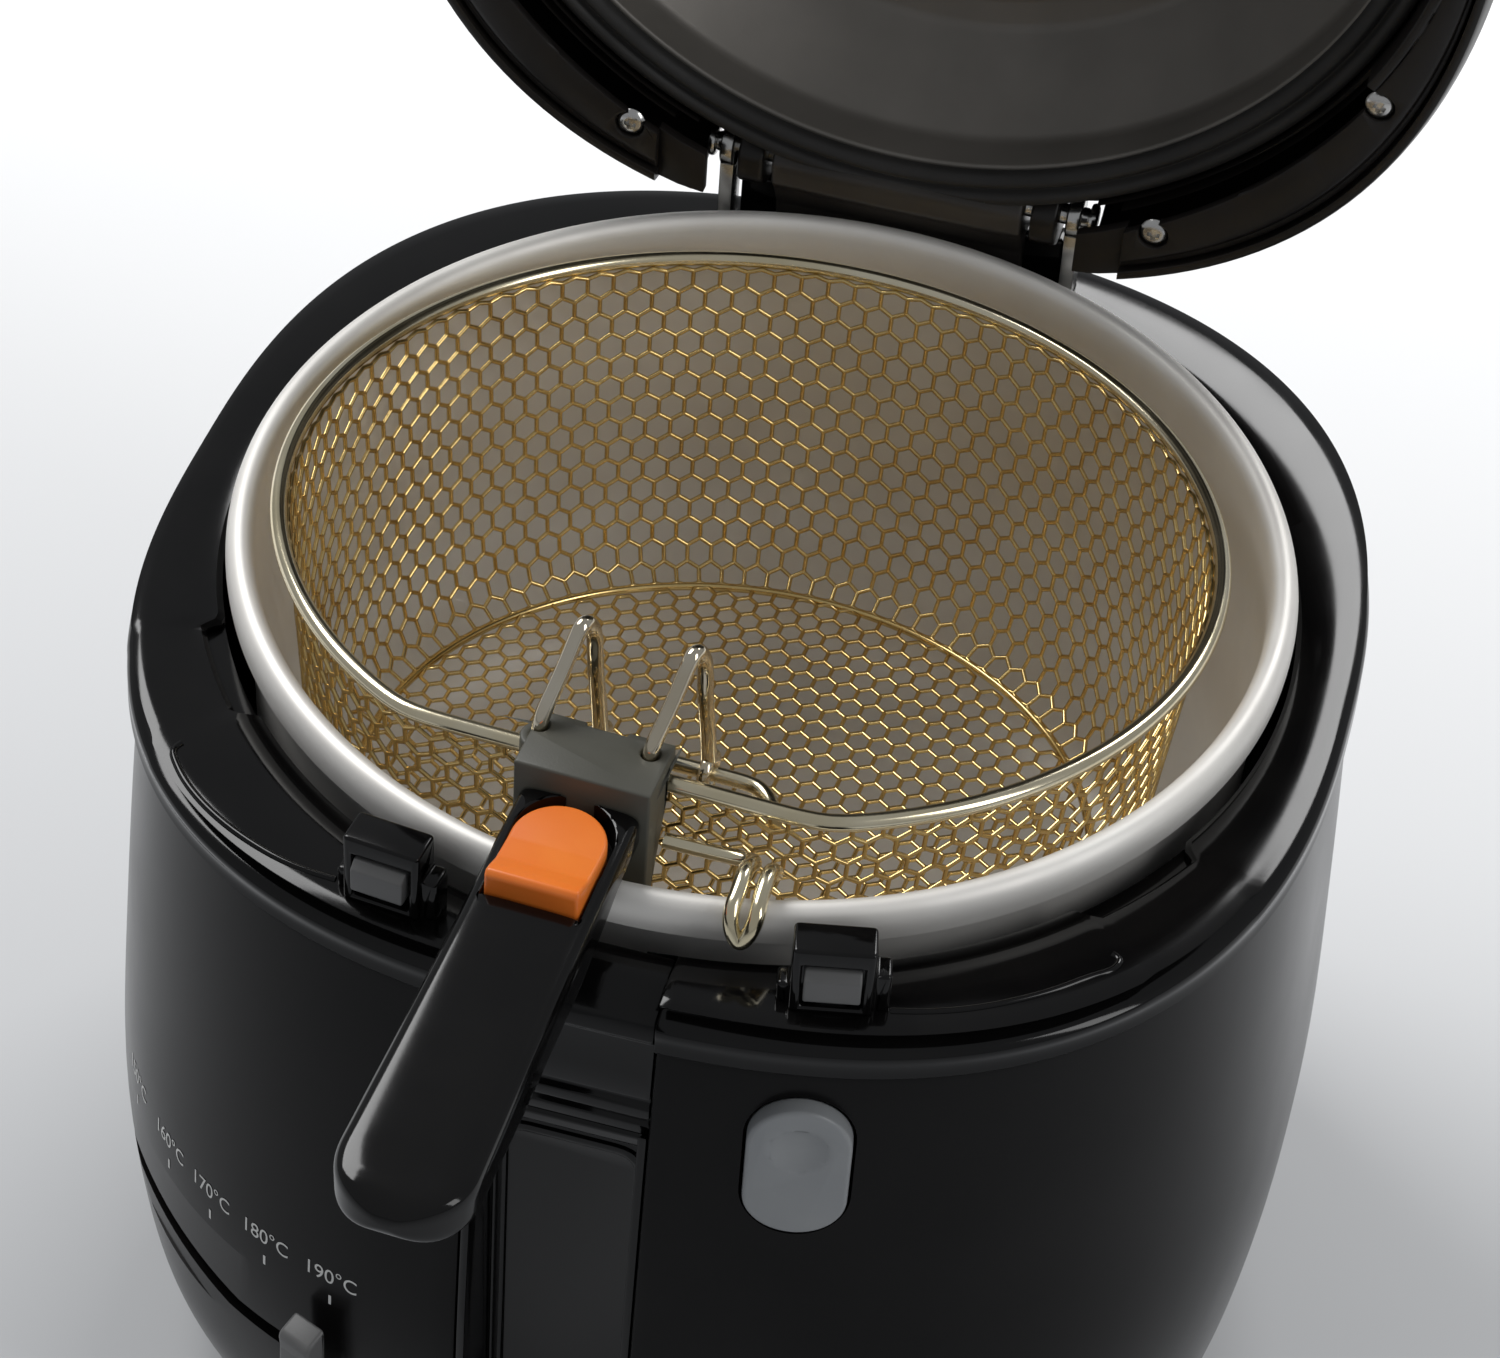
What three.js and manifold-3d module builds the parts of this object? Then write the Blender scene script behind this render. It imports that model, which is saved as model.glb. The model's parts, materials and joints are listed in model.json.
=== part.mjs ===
// Deep fryer with its lid open and its basket hooked on the bowl rim.
// Millimetres, +Z up, front towards -Y. Heights called "rise" are measured from the rim plane of the bowl.
import * as THREE from "three";
import { mergeVertices } from "three/addons/utils/BufferGeometryUtils.js";
import Module from "manifold-3d";

// ---------- driving dimensions ----------
const RIM_HEIGHT = 225; // rim plane of the bowl above the table
const SHIFT_Y = 25.42; // brings the middle of the whole depth to the origin
const GAP = 0.3; // between pieces that touch
const ROUNDNESS = 2.5; // exponent of the rounded-square plan of body and lid
const DEPTH_RATIO = 1.011; // depth of that plan over its width
const BODY_STEPS = 44; // sides of a full turn on the large pieces

const WALL = 3;
const BODY_SIDE = [
  [6, 106],
  [10, 117],
  [20, 128],
  [35, 135],
  [55, 138.5],
  [85, 140.5],
  [125, 139],
  [165, 136.3],
  [206, 133],
]; // height above the table, half-width
const COLLAR_HOLE = 120.3;

const BOWL_RIM_RADIUS = 119.5;
const BOWL_RADIUS = 113;
const BOWL_DEPTH = 128;

const CHANNEL_X = -4.5; // recess in the front that the handle drops into
const CHANNEL_WIDTH = 40;
const CHANNEL_BACK = -122;
const CHANNEL_FLOOR = 34;

const POSTS = [
  { side: "left", x: -45.4, y: -123.7, turn: -6 },
  { side: "right", x: 48.1, y: -122.3, turn: 13 },
];
const POST = { width: 17, depth: 8.5, rise: -5, height: 17 };

const RELEASE = { x: 46.7, y: -132.6, rise: -46.5, turn: 12, width: 22, height: 38 };
const SLOT_RISE = -151; // middle of the temperature slot
const SLOT_RADIUS = 149;
const SLIDER_ANGLE = -113; // degrees round the bowl axis, at the hottest setting
const SLIDER_SWEEP = 32;
const KNOB = { inner: 150.7, outer: 157, low: -7, high: 19, half: 4.5 };

const HINGE = { y: 122, rise: 17, barrel: 8.5, barrelHalf: 31, pin: 2.5, bore: 2.8 };
const LID_OPEN = 90;
const LID_SIDE = [
  [-2, 129.5],
  [4, 131],
  [16, 131],
  [28, 127],
  [38, 117],
  [47.5, 98],
  [54, 70],
  [57.5, 38],
  [59, 0],
]; // rise, half-width
const LID_WALL = 2.5;
const ARCH = { left: -29, right: 6.5, top: 25.5 }; // opening in the lid for the handle
const LID_SCREWS = [
  [-64, 109.5],
  [64, 109.5],
  [-110, 62],
  [110, 62],
  [-110, -62],
  [110, -62],
];

const BASKET = { x: -3, y: 0.3, rise: 7.9, tilt: -4.85, yaw: -2.45 };
const BASKET_RADIUS = 105;
const BASKET_FLAT = 94.75; // distance of the flat front from the middle
const BASKET_DEPTH = 86;
const RIM_WIRE = 1.9;
const WIRE = 1.75;

const PIVOT = { x: -3, y: -76.6, rise: 4 }; // eyes of the handle's two wires
const HANDLE_X = -6; // middle of the grip from the middle of the eyes
const EYE_HALF = 12;
const GRIP_LENGTH = 138;

// ---------- materials ----------
const finish = (color, roughness, metalness = 0) =>
  new THREE.MeshStandardMaterial({ color, roughness, metalness });
const FINISH = {
  satinBlack: finish(0x0f0f0e, 0.35),
  glossBlack: finish(0x070707, 0.08),
  mattBlack: finish(0x1d1917, 0.6),
  rubber: finish(0x141414, 0.8),
  bowlMetal: finish(0xb8b2a8, 0.35, 0.9),
  steel: finish(0xbdbdb8, 0.3, 1),
  goldWire: finish(0xd9b65b, 0.2, 1),
  greySatin: finish(0x5c5c5c, 0.45),
  paleGrey: finish(0x8b8d8f, 0.5),
  orange: finish(0xf07a2c, 0.4),
  bracketOlive: finish(0x43433b, 0.55),
  platePaint: finish(0x35322f, 0.4, 0.4),
  ceramic: finish(0xd8d4c8, 0.7),
};

// ---------- solid helpers ----------
const wasm = await Module();
wasm.setup();

function toSolid(geometry) {
  const bare = geometry.index ? geometry.toNonIndexed() : geometry.clone();
  for (const name of Object.keys(bare.attributes)) {
    if (name !== "position") bare.deleteAttribute(name);
  }
  const merged = mergeVertices(bare, 1e-4);
  const vertProperties = merged.attributes.position.array;
  const triVerts = new Uint32Array(merged.index.array);
  const solid = new wasm.Manifold(new wasm.Mesh({ numProp: 3, vertProperties, triVerts }));
  if (solid.volume() > 0) return solid;
  triVerts.reverse(); // the profile ran the other way round, so the faces pointed in
  return new wasm.Manifold(new wasm.Mesh({ numProp: 3, vertProperties, triVerts }));
}

function toGeometry(solid) {
  const mesh = solid.getMesh();
  const geometry = new THREE.BufferGeometry();
  geometry.setAttribute("position", new THREE.BufferAttribute(mesh.vertProperties, 3));
  geometry.setIndex(new THREE.BufferAttribute(mesh.triVerts, 1));
  return geometry;
}

const combine = (first, others, step) =>
  toGeometry(others.reduce((solid, other) => solid[step](toSolid(other)), toSolid(first)));
const cut = (first, ...others) => combine(first, others, "subtract");
const join = (first, ...others) => combine(first, others, "add");
const common = (first, ...others) => combine(first, others, "intersect");

function block(low, high) {
  const size = high.map((value, i) => value - low[i]);
  const middle = high.map((value, i) => (value + low[i]) / 2);
  return new THREE.BoxGeometry(...size).translate(...middle);
}

function turned(profile, steps = 32) {
  const points = profile.map(([radius, height]) => new THREE.Vector2(radius, height));
  return new THREE.LatheGeometry(points, steps).rotateX(Math.PI / 2);
}

const closed = (profile) => [...profile, profile[0]];

const disc = (radius, low, high, steps = 20) =>
  turned([[0, low], [radius, low], [radius, high], [0, high]], steps);

const ring = (inner, outer, low, high, steps = 32) =>
  turned(closed([[inner, low], [outer, low], [outer, high], [inner, high]]), steps);

// Moves each point along its radius, so that a circle becomes the plan outline given by factor(angle).
function reshape(geometry, move) {
  const position = geometry.attributes.position;
  for (let i = 0; i < position.count; i++) {
    const x = position.getX(i);
    const y = position.getY(i);
    const radius = Math.hypot(x, y);
    if (radius < 1e-6) continue;
    const angle = Math.atan2(y, x);
    const [nextX, nextY] = move(radius, angle);
    position.setXY(i, nextX, nextY);
  }
  return geometry;
}

function squareRound(geometry) {
  return reshape(geometry, (radius, angle) => {
    const c = Math.cos(angle);
    const s = Math.sin(angle);
    const k = (Math.abs(c) ** ROUNDNESS + Math.abs(s) ** ROUNDNESS) ** (-1 / ROUNDNESS);
    return [radius * k * c, radius * k * s * DEPTH_RATIO];
  });
}

const squareTurned = (profile) => squareRound(turned(profile, BODY_STEPS));

// A flat outline pushed along Z between two heights.
function plate(outline, low, high) {
  const depth = high - low;
  return new THREE.ExtrudeGeometry(outline, { depth, bevelEnabled: false }).translate(0, 0, low);
}

// An outline in (y, z) pushed along X.
function sideways(points, low, high) {
  const outline = new THREE.Shape(points.map(([y, z]) => new THREE.Vector2(y, z)));
  const depth = high - low;
  const geometry = new THREE.ExtrudeGeometry(outline, { depth, bevelEnabled: false });
  const basis = new THREE.Matrix4().set(0, 0, 1, low, 1, 0, 0, 0, 0, 1, 0, 0, 0, 0, 0, 1);
  return geometry.applyMatrix4(basis);
}

function pill(width, height) {
  const r = width / 2;
  const straight = height / 2 - r;
  const outline = new THREE.Shape();
  outline.moveTo(r, -straight);
  outline.lineTo(r, straight);
  outline.absarc(0, straight, r, 0, Math.PI, false);
  outline.lineTo(-r, -straight);
  outline.absarc(0, -straight, r, Math.PI, 2 * Math.PI, false);
  return outline;
}

// Stands a plan drawn in (x, y) upright, so that it faces the front.
const upright = (geometry) => geometry.rotateX(Math.PI / 2);

function wire(points, radius, steps, sides = 8) {
  const path = new THREE.CatmullRomCurve3(
    points.map((p) => new THREE.Vector3(...p)),
    false,
    "centripetal",
  );
  const section = new THREE.Shape();
  for (let i = 0; i < sides; i++) {
    const a = (2 * Math.PI * i) / sides;
    const corner = [radius * Math.cos(a), radius * Math.sin(a)];
    if (i) section.lineTo(...corner);
    else section.moveTo(...corner);
  }
  return new THREE.ExtrudeGeometry(section, { steps, extrudePath: path, bevelEnabled: false });
}

const rod = (radius, low, high, steps = 16) =>
  disc(radius, low, high, steps).rotateY(Math.PI / 2);

const degrees = (angle) => (angle * Math.PI) / 180;

// ---------- groups ----------
const fryer = new THREE.Group();
fryer.position.y = SHIFT_Y;

const rimGroup = new THREE.Group(); // pieces placed by their rise over the rim plane
rimGroup.position.z = RIM_HEIGHT;
fryer.add(rimGroup);

const lidPivot = new THREE.Group();
lidPivot.position.set(0, HINGE.y, HINGE.rise);
lidPivot.rotation.x = -degrees(LID_OPEN);
const lid = new THREE.Group(); // pieces drawn as they lie when the lid is shut
lid.position.set(0, -HINGE.y, -HINGE.rise);
lidPivot.add(lid);
rimGroup.add(lidPivot);

const basket = new THREE.Group();
basket.position.set(BASKET.x, BASKET.y, BASKET.rise);
basket.rotation.set(degrees(BASKET.tilt), 0, degrees(BASKET.yaw), "ZXY");
rimGroup.add(basket);

const handle = new THREE.Group(); // origin in the eyes, grip towards -Y
handle.position.set(PIVOT.x, PIVOT.y, PIVOT.rise);
handle.rotation.z = degrees(BASKET.yaw);
rimGroup.add(handle);

function piece(group, name, geometry, material) {
  const mesh = new THREE.Mesh(toGeometry(toSolid(geometry)), material); // faces turned outwards
  mesh.name = name;
  group.add(mesh);
  return mesh;
}

// ---------- body ----------
const channelCut = (side, low, high) =>
  block(
    [CHANNEL_X - CHANNEL_WIDTH / 2 - side, -160, low],
    [CHANNEL_X + CHANNEL_WIDTH / 2 + side, CHANNEL_BACK + 2, high],
  );

function releaseHole(clearance) {
  const outline = pill(RELEASE.width + 2 * clearance, RELEASE.height + 2 * clearance);
  return upright(plate(outline, -14, 14))
    .rotateZ(degrees(RELEASE.turn))
    .translate(RELEASE.x, RELEASE.y, RIM_HEIGHT + RELEASE.rise);
}

// Part of a flat ring between two angles, in degrees.
function band(inner, outer, low, high, from, to) {
  const outline = new THREE.Shape();
  outline.absarc(0, 0, outer, degrees(from), degrees(to), false);
  outline.absarc(0, 0, inner, degrees(to), degrees(from), true);
  return new THREE.ExtrudeGeometry(outline, {
    depth: high - low,
    bevelEnabled: false,
    curveSegments: 8,
  }).translate(0, 0, low);
}

function bodyShell() {
  const outside = BODY_SIDE.map(([height, half]) => [half, height]);
  const inside = BODY_SIDE.map(([height, half]) => [half - WALL, height]).reverse();
  const slotHeight = RIM_HEIGHT + SLOT_RISE;
  const slot = band(
    125,
    165,
    slotHeight - 2.6,
    slotHeight + 2.6,
    SLIDER_ANGLE - SLIDER_SWEEP - 3,
    SLIDER_ANGLE + 3,
  );
  // Shallow track in the rounded corner that the knob slides along.
  const track = band(
    KNOB.inner - 0.8,
    165,
    slotHeight + KNOB.low - 1.5,
    slotHeight + KNOB.high + 1.5,
    SLIDER_ANGLE - SLIDER_SWEEP - 4,
    SLIDER_ANGLE + 4,
  );
  const cordHole = disc(9, -20, 20, 24)
    .rotateX(Math.PI / 2)
    .translate(70, 118, 45);
  return cut(
    squareTurned(closed([...outside, ...inside])),
    channelCut(0, CHANNEL_FLOOR - 2, RIM_HEIGHT + 10),
    releaseHole(0.4),
    slot,
    track,
    cordHole,
  );
}
piece(fryer, "body_shell", bodyShell(), FINISH.satinBlack);

// Everything inside the outer surface of body and collar.
const bodyEnvelope = () =>
  squareTurned([
    [0, 6],
    ...BODY_SIDE.map(([height, half]) => [half, height]),
    [135, 208.5],
    [133.5, 215],
    [131, 218],
    [127, 219.5],
    [0, 219.5],
  ]);

function collar() {
  const body = squareTurned(
    closed([
      [100, -6.6],
      [121, -6.3],
      [127, -5.4],
      [131, -6.9],
      [133.6, -10],
      [135.2, -15.5],
      [135.2, -18.7],
      [132.4, -18.7],
      [131, -12.5],
      [127, -9.4],
      [100, -9.6],
    ]),
  );
  const notches = [-34, -145].map((angle) =>
    block([0, -9, -12], [123.5, 9, 0]).rotateZ(degrees(angle)),
  );
  const slots = POSTS.map((post) =>
    block([-3.8, -2.4, -14], [3.8, 2.4, 0])
      .rotateZ(degrees(post.turn))
      .translate(post.x, post.y, 0),
  );
  return cut(
    body,
    disc(COLLAR_HOLE, -30, 10, BODY_STEPS),
    channelCut(0, -40, 10),
    ...notches,
    ...slots,
  );
}
piece(rimGroup, "collar", collar(), FINISH.glossBlack);

function channelLiner() {
  const half = CHANNEL_WIDTH / 2 - GAP;
  const [left, right] = [CHANNEL_X - half, CHANNEL_X + half];
  const floor = CHANNEL_FLOOR - RIM_HEIGHT;
  const lip = [
    [-120.4, -7],
    [-133, -12],
    [-137, -19],
  ];
  const steps = [
    [-137, -36],
    [-134, -38],
    [-134, -42],
    [-131, -44],
    [-131, -48],
    [-128, -50],
    [-128, -54],
    [CHANNEL_BACK, -62],
    [CHANNEL_BACK, floor],
  ];
  const back = [
    ...steps.map(([y, z]) => [Math.max(y + 2.1, -131.6), z + 0.7]).reverse(),
    [-131.6, -20],
    [-129, -13],
    [-120.4, -9.4],
  ];
  const curtain = sideways([...lip, ...steps, ...back], left, right);
  const bottom = block([left, -150, floor - 1.7], [right, CHANNEL_BACK + 1, floor]);
  const cheekSide = [
    [CHANNEL_BACK + 2, -64],
    [-126, -54],
    [-150, -30],
    [-150, floor - 1],
    [CHANNEL_BACK + 2, floor - 1],
  ];
  const cheeks = [
    sideways(cheekSide, left, left + 2),
    sideways(cheekSide, right - 2, right),
  ];
  return common(
    join(curtain, bottom, ...cheeks),
    bodyEnvelope().translate(0, 0, -RIM_HEIGHT),
    channelCut(-GAP, -220, 0),
  );
}
piece(rimGroup, "channel_liner", channelLiner(), FINISH.glossBlack);

function bowl() {
  const floor = -BOWL_DEPTH;
  return turned(
    closed([
      [0, floor],
      [94, floor],
      [105, floor + 5],
      [111, floor + 16],
      [BOWL_RADIUS - 1, -20],
      [BOWL_RADIUS, 2],
      [113.6, 5],
      [115, 6],
      [117.6, 5.2],
      [BOWL_RIM_RADIUS, 2],
      [BOWL_RIM_RADIUS, -2.5],
      [118, -2.5],
      [118, 1.4],
      [116, 3.6],
      [114.6, 2],
      [114.2, -20],
      [112.6, floor + 16],
      [106, floor + 4],
      [94.6, floor - 1.6],
      [0, floor - 1.6],
    ]),
    BODY_STEPS,
  );
}
piece(rimGroup, "bowl", bowl(), FINISH.bowlMetal);

// ---------- under the bowl ----------
const heaterTop = RIM_HEIGHT - BOWL_DEPTH - 1.6 - GAP;

function heatingElement() {
  const radius = 72;
  const points = [];
  for (let angle = 20; angle <= 340; angle += 20) {
    const a = degrees(angle + 90);
    points.push([radius * Math.cos(a), radius * Math.sin(a), heaterTop - 5.4]);
  }
  const end = (side) => {
    const a = degrees(90 + side * 20);
    return [0.86 * radius * Math.cos(a), 0.86 * radius * Math.sin(a), heaterTop - 18];
  };
  return wire([end(1), ...points, end(-1)], 4, 36);
}
piece(fryer, "heating_element", heatingElement(), FINISH.steel);

piece(
  fryer,
  "heat_shield",
  turned(
    closed([
      [36, 66],
      [100, 66],
      [112, 74],
      [112, 88],
      [110.8, 88],
      [110.8, 74.6],
      [99.5, 67.2],
      [36, 67.2],
    ]),
    40,
  ),
  FINISH.steel,
);
piece(fryer, "thermostat_body", block([-18, -15, 46], [18, 15, 65]), FINISH.ceramic);
piece(
  fryer,
  "thermal_cutout",
  disc(8, 67.5, 76, 20).translate(-50, 0, 0),
  FINISH.ceramic,
);
piece(fryer, "terminal_block", block([46, 60, 9.3], [74, 78, 24]), FINISH.ceramic);

function basePan() {
  const pan = squareTurned([
    [0, 6.3],
    [102.4, 6.3],
    [102.4, 15],
    [100.4, 15],
    [100.4, 9],
    [0, 9],
  ]);
  const vents = [-36, -12, 12, 36].map((x) => block([x - 4, -34, 0], [x + 4, 34, 12]));
  return cut(pan, ...vents);
}
piece(fryer, "base_pan", basePan(), FINISH.mattBlack);

const CORNERS = [
  [-1, -1],
  [1, -1],
  [1, 1],
  [-1, 1],
];
CORNERS.forEach(([x, y], i) => {
  const foot = turned([[0, 0], [8, 0], [9.5, 1.5], [10, 6], [0, 6]], 14);
  piece(fryer, `foot_${i + 1}`, foot.translate(75 * x, 75 * y, 0), FINISH.rubber);
  const screw = turned([[0, 3.8], [3, 3.8], [3.6, 5], [3.6, 6], [0, 6]], 8);
  piece(fryer, `base_screw_${i + 1}`, screw.translate(88 * x, 40 * y, 0), FINISH.steel);
});

const glandOutline = [[4, -6], [8.6, -6], [8.6, 1], [11, 1.4], [11, 4], [6, 9], [4, 9]];
piece(
  fryer,
  "cord_gland",
  turned(closed(glandOutline), 16).rotateX(-Math.PI / 2).translate(70, 135.2, 45),
  FINISH.rubber,
);

// ---------- latch posts, catch tongues and release button ----------
for (const post of POSTS) {
  const half = POST.width / 2;
  const face = -POST.depth / 2;
  const shell = cut(
    block([-half, face, 0], [half, -face, POST.height]),
    block([-6.4, -2.2, -1], [6.4, 2.2, POST.height - 2.6]),
    block([-6.2, face - 1, 0.8], [6.2, 0, 12.4]),
  );
  const tongue = join(
    block([-5.8, face - 2, 4.4], [5.8, -1.4, 12]),
    block([-3, -1.5, -22.5], [3, 1.5, 11]),
  );
  const place = (geometry) =>
    geometry.rotateZ(degrees(post.turn)).translate(post.x, post.y, POST.rise);
  piece(rimGroup, `latch_post_${post.side}`, place(shell), FINISH.glossBlack);
  piece(rimGroup, `latch_tongue_${post.side}`, place(tongue), FINISH.greySatin);
}
const linkTop = POST.rise - 22.5 - GAP;
piece(
  rimGroup,
  "latch_link",
  join(
    block([-50, -124.3, linkTop - 5], [50.6, -120.8, linkTop]),
    block([42, -124.3, linkTop - 12], [49, -120.8, linkTop - 4]),
  ),
  FINISH.steel,
);
const springTop = linkTop - 5 - GAP;
piece(
  rimGroup,
  "latch_spring",
  ring(1.6, 3, springTop - 16, springTop, 14).translate(-38, -123.5, 0),
  FINISH.steel,
);
piece(
  rimGroup,
  "spring_seat",
  block([-44, -128, springTop - 19], [-32, -119, springTop - 16 - GAP]),
  FINISH.mattBlack,
);

function releaseButton() {
  const face = upright(plate(pill(RELEASE.width, RELEASE.height), -2.4, 2.6));
  const dimple = new THREE.SphereGeometry(15, 20, 12).translate(0, -15.9, 7.2);
  const finger = block([-4, -1, -16], [4, 9, -10]);
  // The plan faces the front once upright, so its outer side lies at -Y.
  return join(cut(face.rotateZ(Math.PI), dimple), finger);
}
piece(
  rimGroup,
  "release_button",
  releaseButton()
    .rotateZ(degrees(RELEASE.turn))
    .translate(RELEASE.x, RELEASE.y, RELEASE.rise),
  FINISH.paleGrey,
);

// ---------- temperature slider ----------
// The knob sits on a lever that turns the thermostat's shaft on the bowl axis.
const leverHeight = 39;
const slotHeight = RIM_HEIGHT + SLOT_RISE;
const atSlider = (geometry) => geometry.rotateZ(degrees(SLIDER_ANGLE));
const lever = join(
  disc(9, leverHeight, leverHeight + 3, 20),
  block([0, -4, leverHeight], [131, 4, leverHeight + 3]),
  block([128, -4, leverHeight], [131, 4, slotHeight + 2]),
  block([128, -4, slotHeight - 2], [KNOB.inner - GAP, 4, slotHeight + 2]),
);
const shaftHole = disc(3.3, 30, 60, 16);
piece(fryer, "slider_lever", atSlider(cut(lever, shaftHole)), FINISH.steel);
piece(fryer, "thermostat_shaft", disc(3, 34, 45.7, 16), FINISH.steel);
piece(
  fryer,
  "slider_knob",
  atSlider(
    block(
      [KNOB.inner, -KNOB.half, slotHeight + KNOB.low],
      [KNOB.outer, KNOB.half, slotHeight + KNOB.high],
    ),
  ),
  FINISH.greySatin,
);

// ---------- hinge on the body ----------
const atHinge = (geometry) => geometry.translate(0, HINGE.y, HINGE.rise);
piece(
  rimGroup,
  "hinge_barrel",
  cut(
    join(
      atHinge(rod(HINGE.barrel, -HINGE.barrelHalf, HINGE.barrelHalf, 28)),
      block([-26, 122, -4.9], [26, 129, 16]),
    ),
    atHinge(rod(HINGE.bore, -40, 40, 16)),
  ),
  FINISH.satinBlack,
);
piece(rimGroup, "hinge_pin", atHinge(rod(HINGE.pin, -46.5, 46.5, 16)), FINISH.steel);
for (const [side, sign] of [["left", -1], ["right", 1]]) {
  const arm = join(
    rod(5.5, -1.7, 1.7, 20),
    block([-1.7, -4, -21.9], [1.7, 4, 0]),
  );
  piece(
    rimGroup,
    `hinge_arm_${side}`,
    atHinge(cut(arm, rod(HINGE.bore, -5, 5, 16)).translate(sign * 43, 0, 0)),
    FINISH.steel,
  );
}

// ---------- lid, drawn shut ----------
const barrelRoom = () => atHinge(rod(HINGE.barrel + 1, -32.2, 32.2, 24));
const hingeRoom = () => block([-57, 110, -10], [57, 150, 27.5]);
const armRoom = () =>
  join(block([-48.5, 110, -10], [48.5, 150, 27.5]), block([-57, 110, -10], [57, 150, 3]));
const archRoom = () => block([ARCH.left, -150, -10], [ARCH.right, -98, ARCH.top]);
// Room for the basket's hook over the bowl rim, when the lid is shut over the raised basket.
const hookRoom = () => block([ARCH.right - 1, -124.5, -3], [34.5, -102, 13.4]);
// The liner is cut back behind the hinge side of the bowl rim, which it would meet as it swings.
const swingRoom = () =>
  common(disc(124.2, -3, 6.2, BODY_STEPS), block([-130, 60, -5], [130, 140, 8]));
const postRooms = () =>
  POSTS.map((post) =>
    block([-9.8, -18, -2], [9.8, 6, 21.5])
      .rotateZ(degrees(post.turn))
      .translate(post.x, post.y, POST.rise),
  );

function lidShell() {
  const outside = LID_SIDE.map(([rise, half]) => [half, rise]);
  const inside = [
    [0, 56.5],
    [38, 55],
    [69.5, 51.6],
    [96.6, 45.3],
    [115, 36.2],
    [124.4, 26.8],
    [131 - LID_WALL, 15.6],
    [131 - LID_WALL, 4],
    [127, -2],
  ];
  const ears = [-1, 1].map((sign) =>
    join(
      rod(HINGE.barrel, -3.2, 3.2, 24),
      block([-3.2, -8.4, 0], [3.2, 6, 14]),
    ).translate(sign * 36.3, HINGE.y, HINGE.rise),
  );
  const dome = squareTurned([...inside, ...outside]);
  return cut(
    join(cut(dome, armRoom(), archRoom(), ...postRooms()), ...ears),
    atHinge(rod(HINGE.bore, -60, 60, 16)),
  );
}
piece(lid, "lid_shell", lidShell(), FINISH.satinBlack);

function lidLiner() {
  const flat = cut(
    squareTurned([[0, -1.5], [126.6, -1.5], [126.6, 1], [0, 1]]),
    disc(122.4, -5, 5, BODY_STEPS),
  );
  const wall = ring(120.4, 122.6, -1.5, 11, BODY_STEPS);
  const archBand = cut(
    block([ARCH.left - 2, -123.4, -1.5], [ARCH.right + 2, -120.8, ARCH.top + 1.4]),
    archRoom(),
  );
  const recesses = LID_SCREWS.map(([x, y]) => disc(4, -5, 5, 20).translate(x, y, 0));
  const cleared = cut(
    join(flat, wall),
    hingeRoom(),
    archRoom(),
    hookRoom(),
    swingRoom(),
    ...postRooms(),
    ...recesses,
  );
  const bridge = block([ARCH.right, -126.5, -1.5], [ARCH.right + 2, -120.8, 1]);
  return join(cleared, archBand, bridge);
}
piece(lid, "lid_liner", lidLiner(), FINISH.mattBlack);

piece(
  lid,
  "lid_seal",
  cut(ring(111.2, 119.8, 6.5, 10.6, BODY_STEPS), archRoom(), hookRoom(), barrelRoom()),
  FINISH.rubber,
);
piece(
  lid,
  "lid_inner_plate",
  cut(
    turned(
      closed([
        [50, 45],
        [88, 45],
        [92, 43.5],
        [110.6, 22],
        [110.6, 10.9],
        [119, 10.9],
        [119, 12.1],
        [111.8, 12.1],
        [111.8, 22.5],
        [93, 44.4],
        [88.4, 46.2],
        [50, 46.2],
      ]),
      BODY_STEPS,
    ),
    archRoom(),
    hookRoom(),
    barrelRoom(),
  ),
  FINISH.platePaint,
);
piece(lid, "filter_cover", ring(1.8, 60, 42, 44.7, 40), FINISH.mattBlack);
piece(lid, "filter_cartridge", disc(48, 46.6, 51, 36), FINISH.paleGrey);
piece(
  lid,
  "filter_screw",
  turned([[0, 40], [3, 40], [3.8, 41.6], [1.5, 41.7], [1.5, 46.2], [0, 46.2]], 14),
  FINISH.steel,
);
LID_SCREWS.forEach(([x, y], i) => {
  const screw = turned([[0, -0.7], [2.6, -0.7], [3.6, 0.6], [1.6, 1.4], [1.6, 9], [0, 9]], 8);
  piece(lid, `lid_screw_${i + 1}`, screw.translate(x, y, 0), FINISH.steel);
});
for (const post of POSTS) {
  const face = -POST.depth / 2;
  const catchPlate = block([-5, face - 2, 12.3], [5, face - GAP, 21.2])
    .rotateZ(degrees(post.turn))
    .translate(post.x, post.y, POST.rise);
  piece(lid, `lid_catch_${post.side}`, catchPlate, FINISH.steel);
}

// ---------- basket ----------
const BASKET_CORNER = Math.acos(BASKET_FLAT / BASKET_RADIUS);
// Radius of the basket's plan, a circle with a flat front.
function basketReach(angle) {
  const fromFront = Math.abs(Math.atan2(Math.cos(angle), -Math.sin(angle)));
  return fromFront < BASKET_CORNER ? BASKET_FLAT / Math.cos(fromFront) : BASKET_RADIUS;
}

function basketTub() {
  const tub = turned(
    [
      [0, -BASKET_DEPTH],
      [86, -BASKET_DEPTH],
      [95, -BASKET_DEPTH + 9],
      [102.4, -RIM_WIRE - GAP],
      [100.6, -RIM_WIRE - GAP],
      [93.4, -BASKET_DEPTH + 10],
      [85.2, -BASKET_DEPTH + 1.8],
      [0, -BASKET_DEPTH + 1.8],
    ],
    48,
  );
  return reshape(tub, (radius, angle) => {
    const k = (radius * basketReach(angle)) / BASKET_RADIUS;
    return [k * Math.cos(angle), k * Math.sin(angle)];
  });
}
piece(basket, "basket_mesh", basketTub(), FINISH.goldWire);

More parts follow.
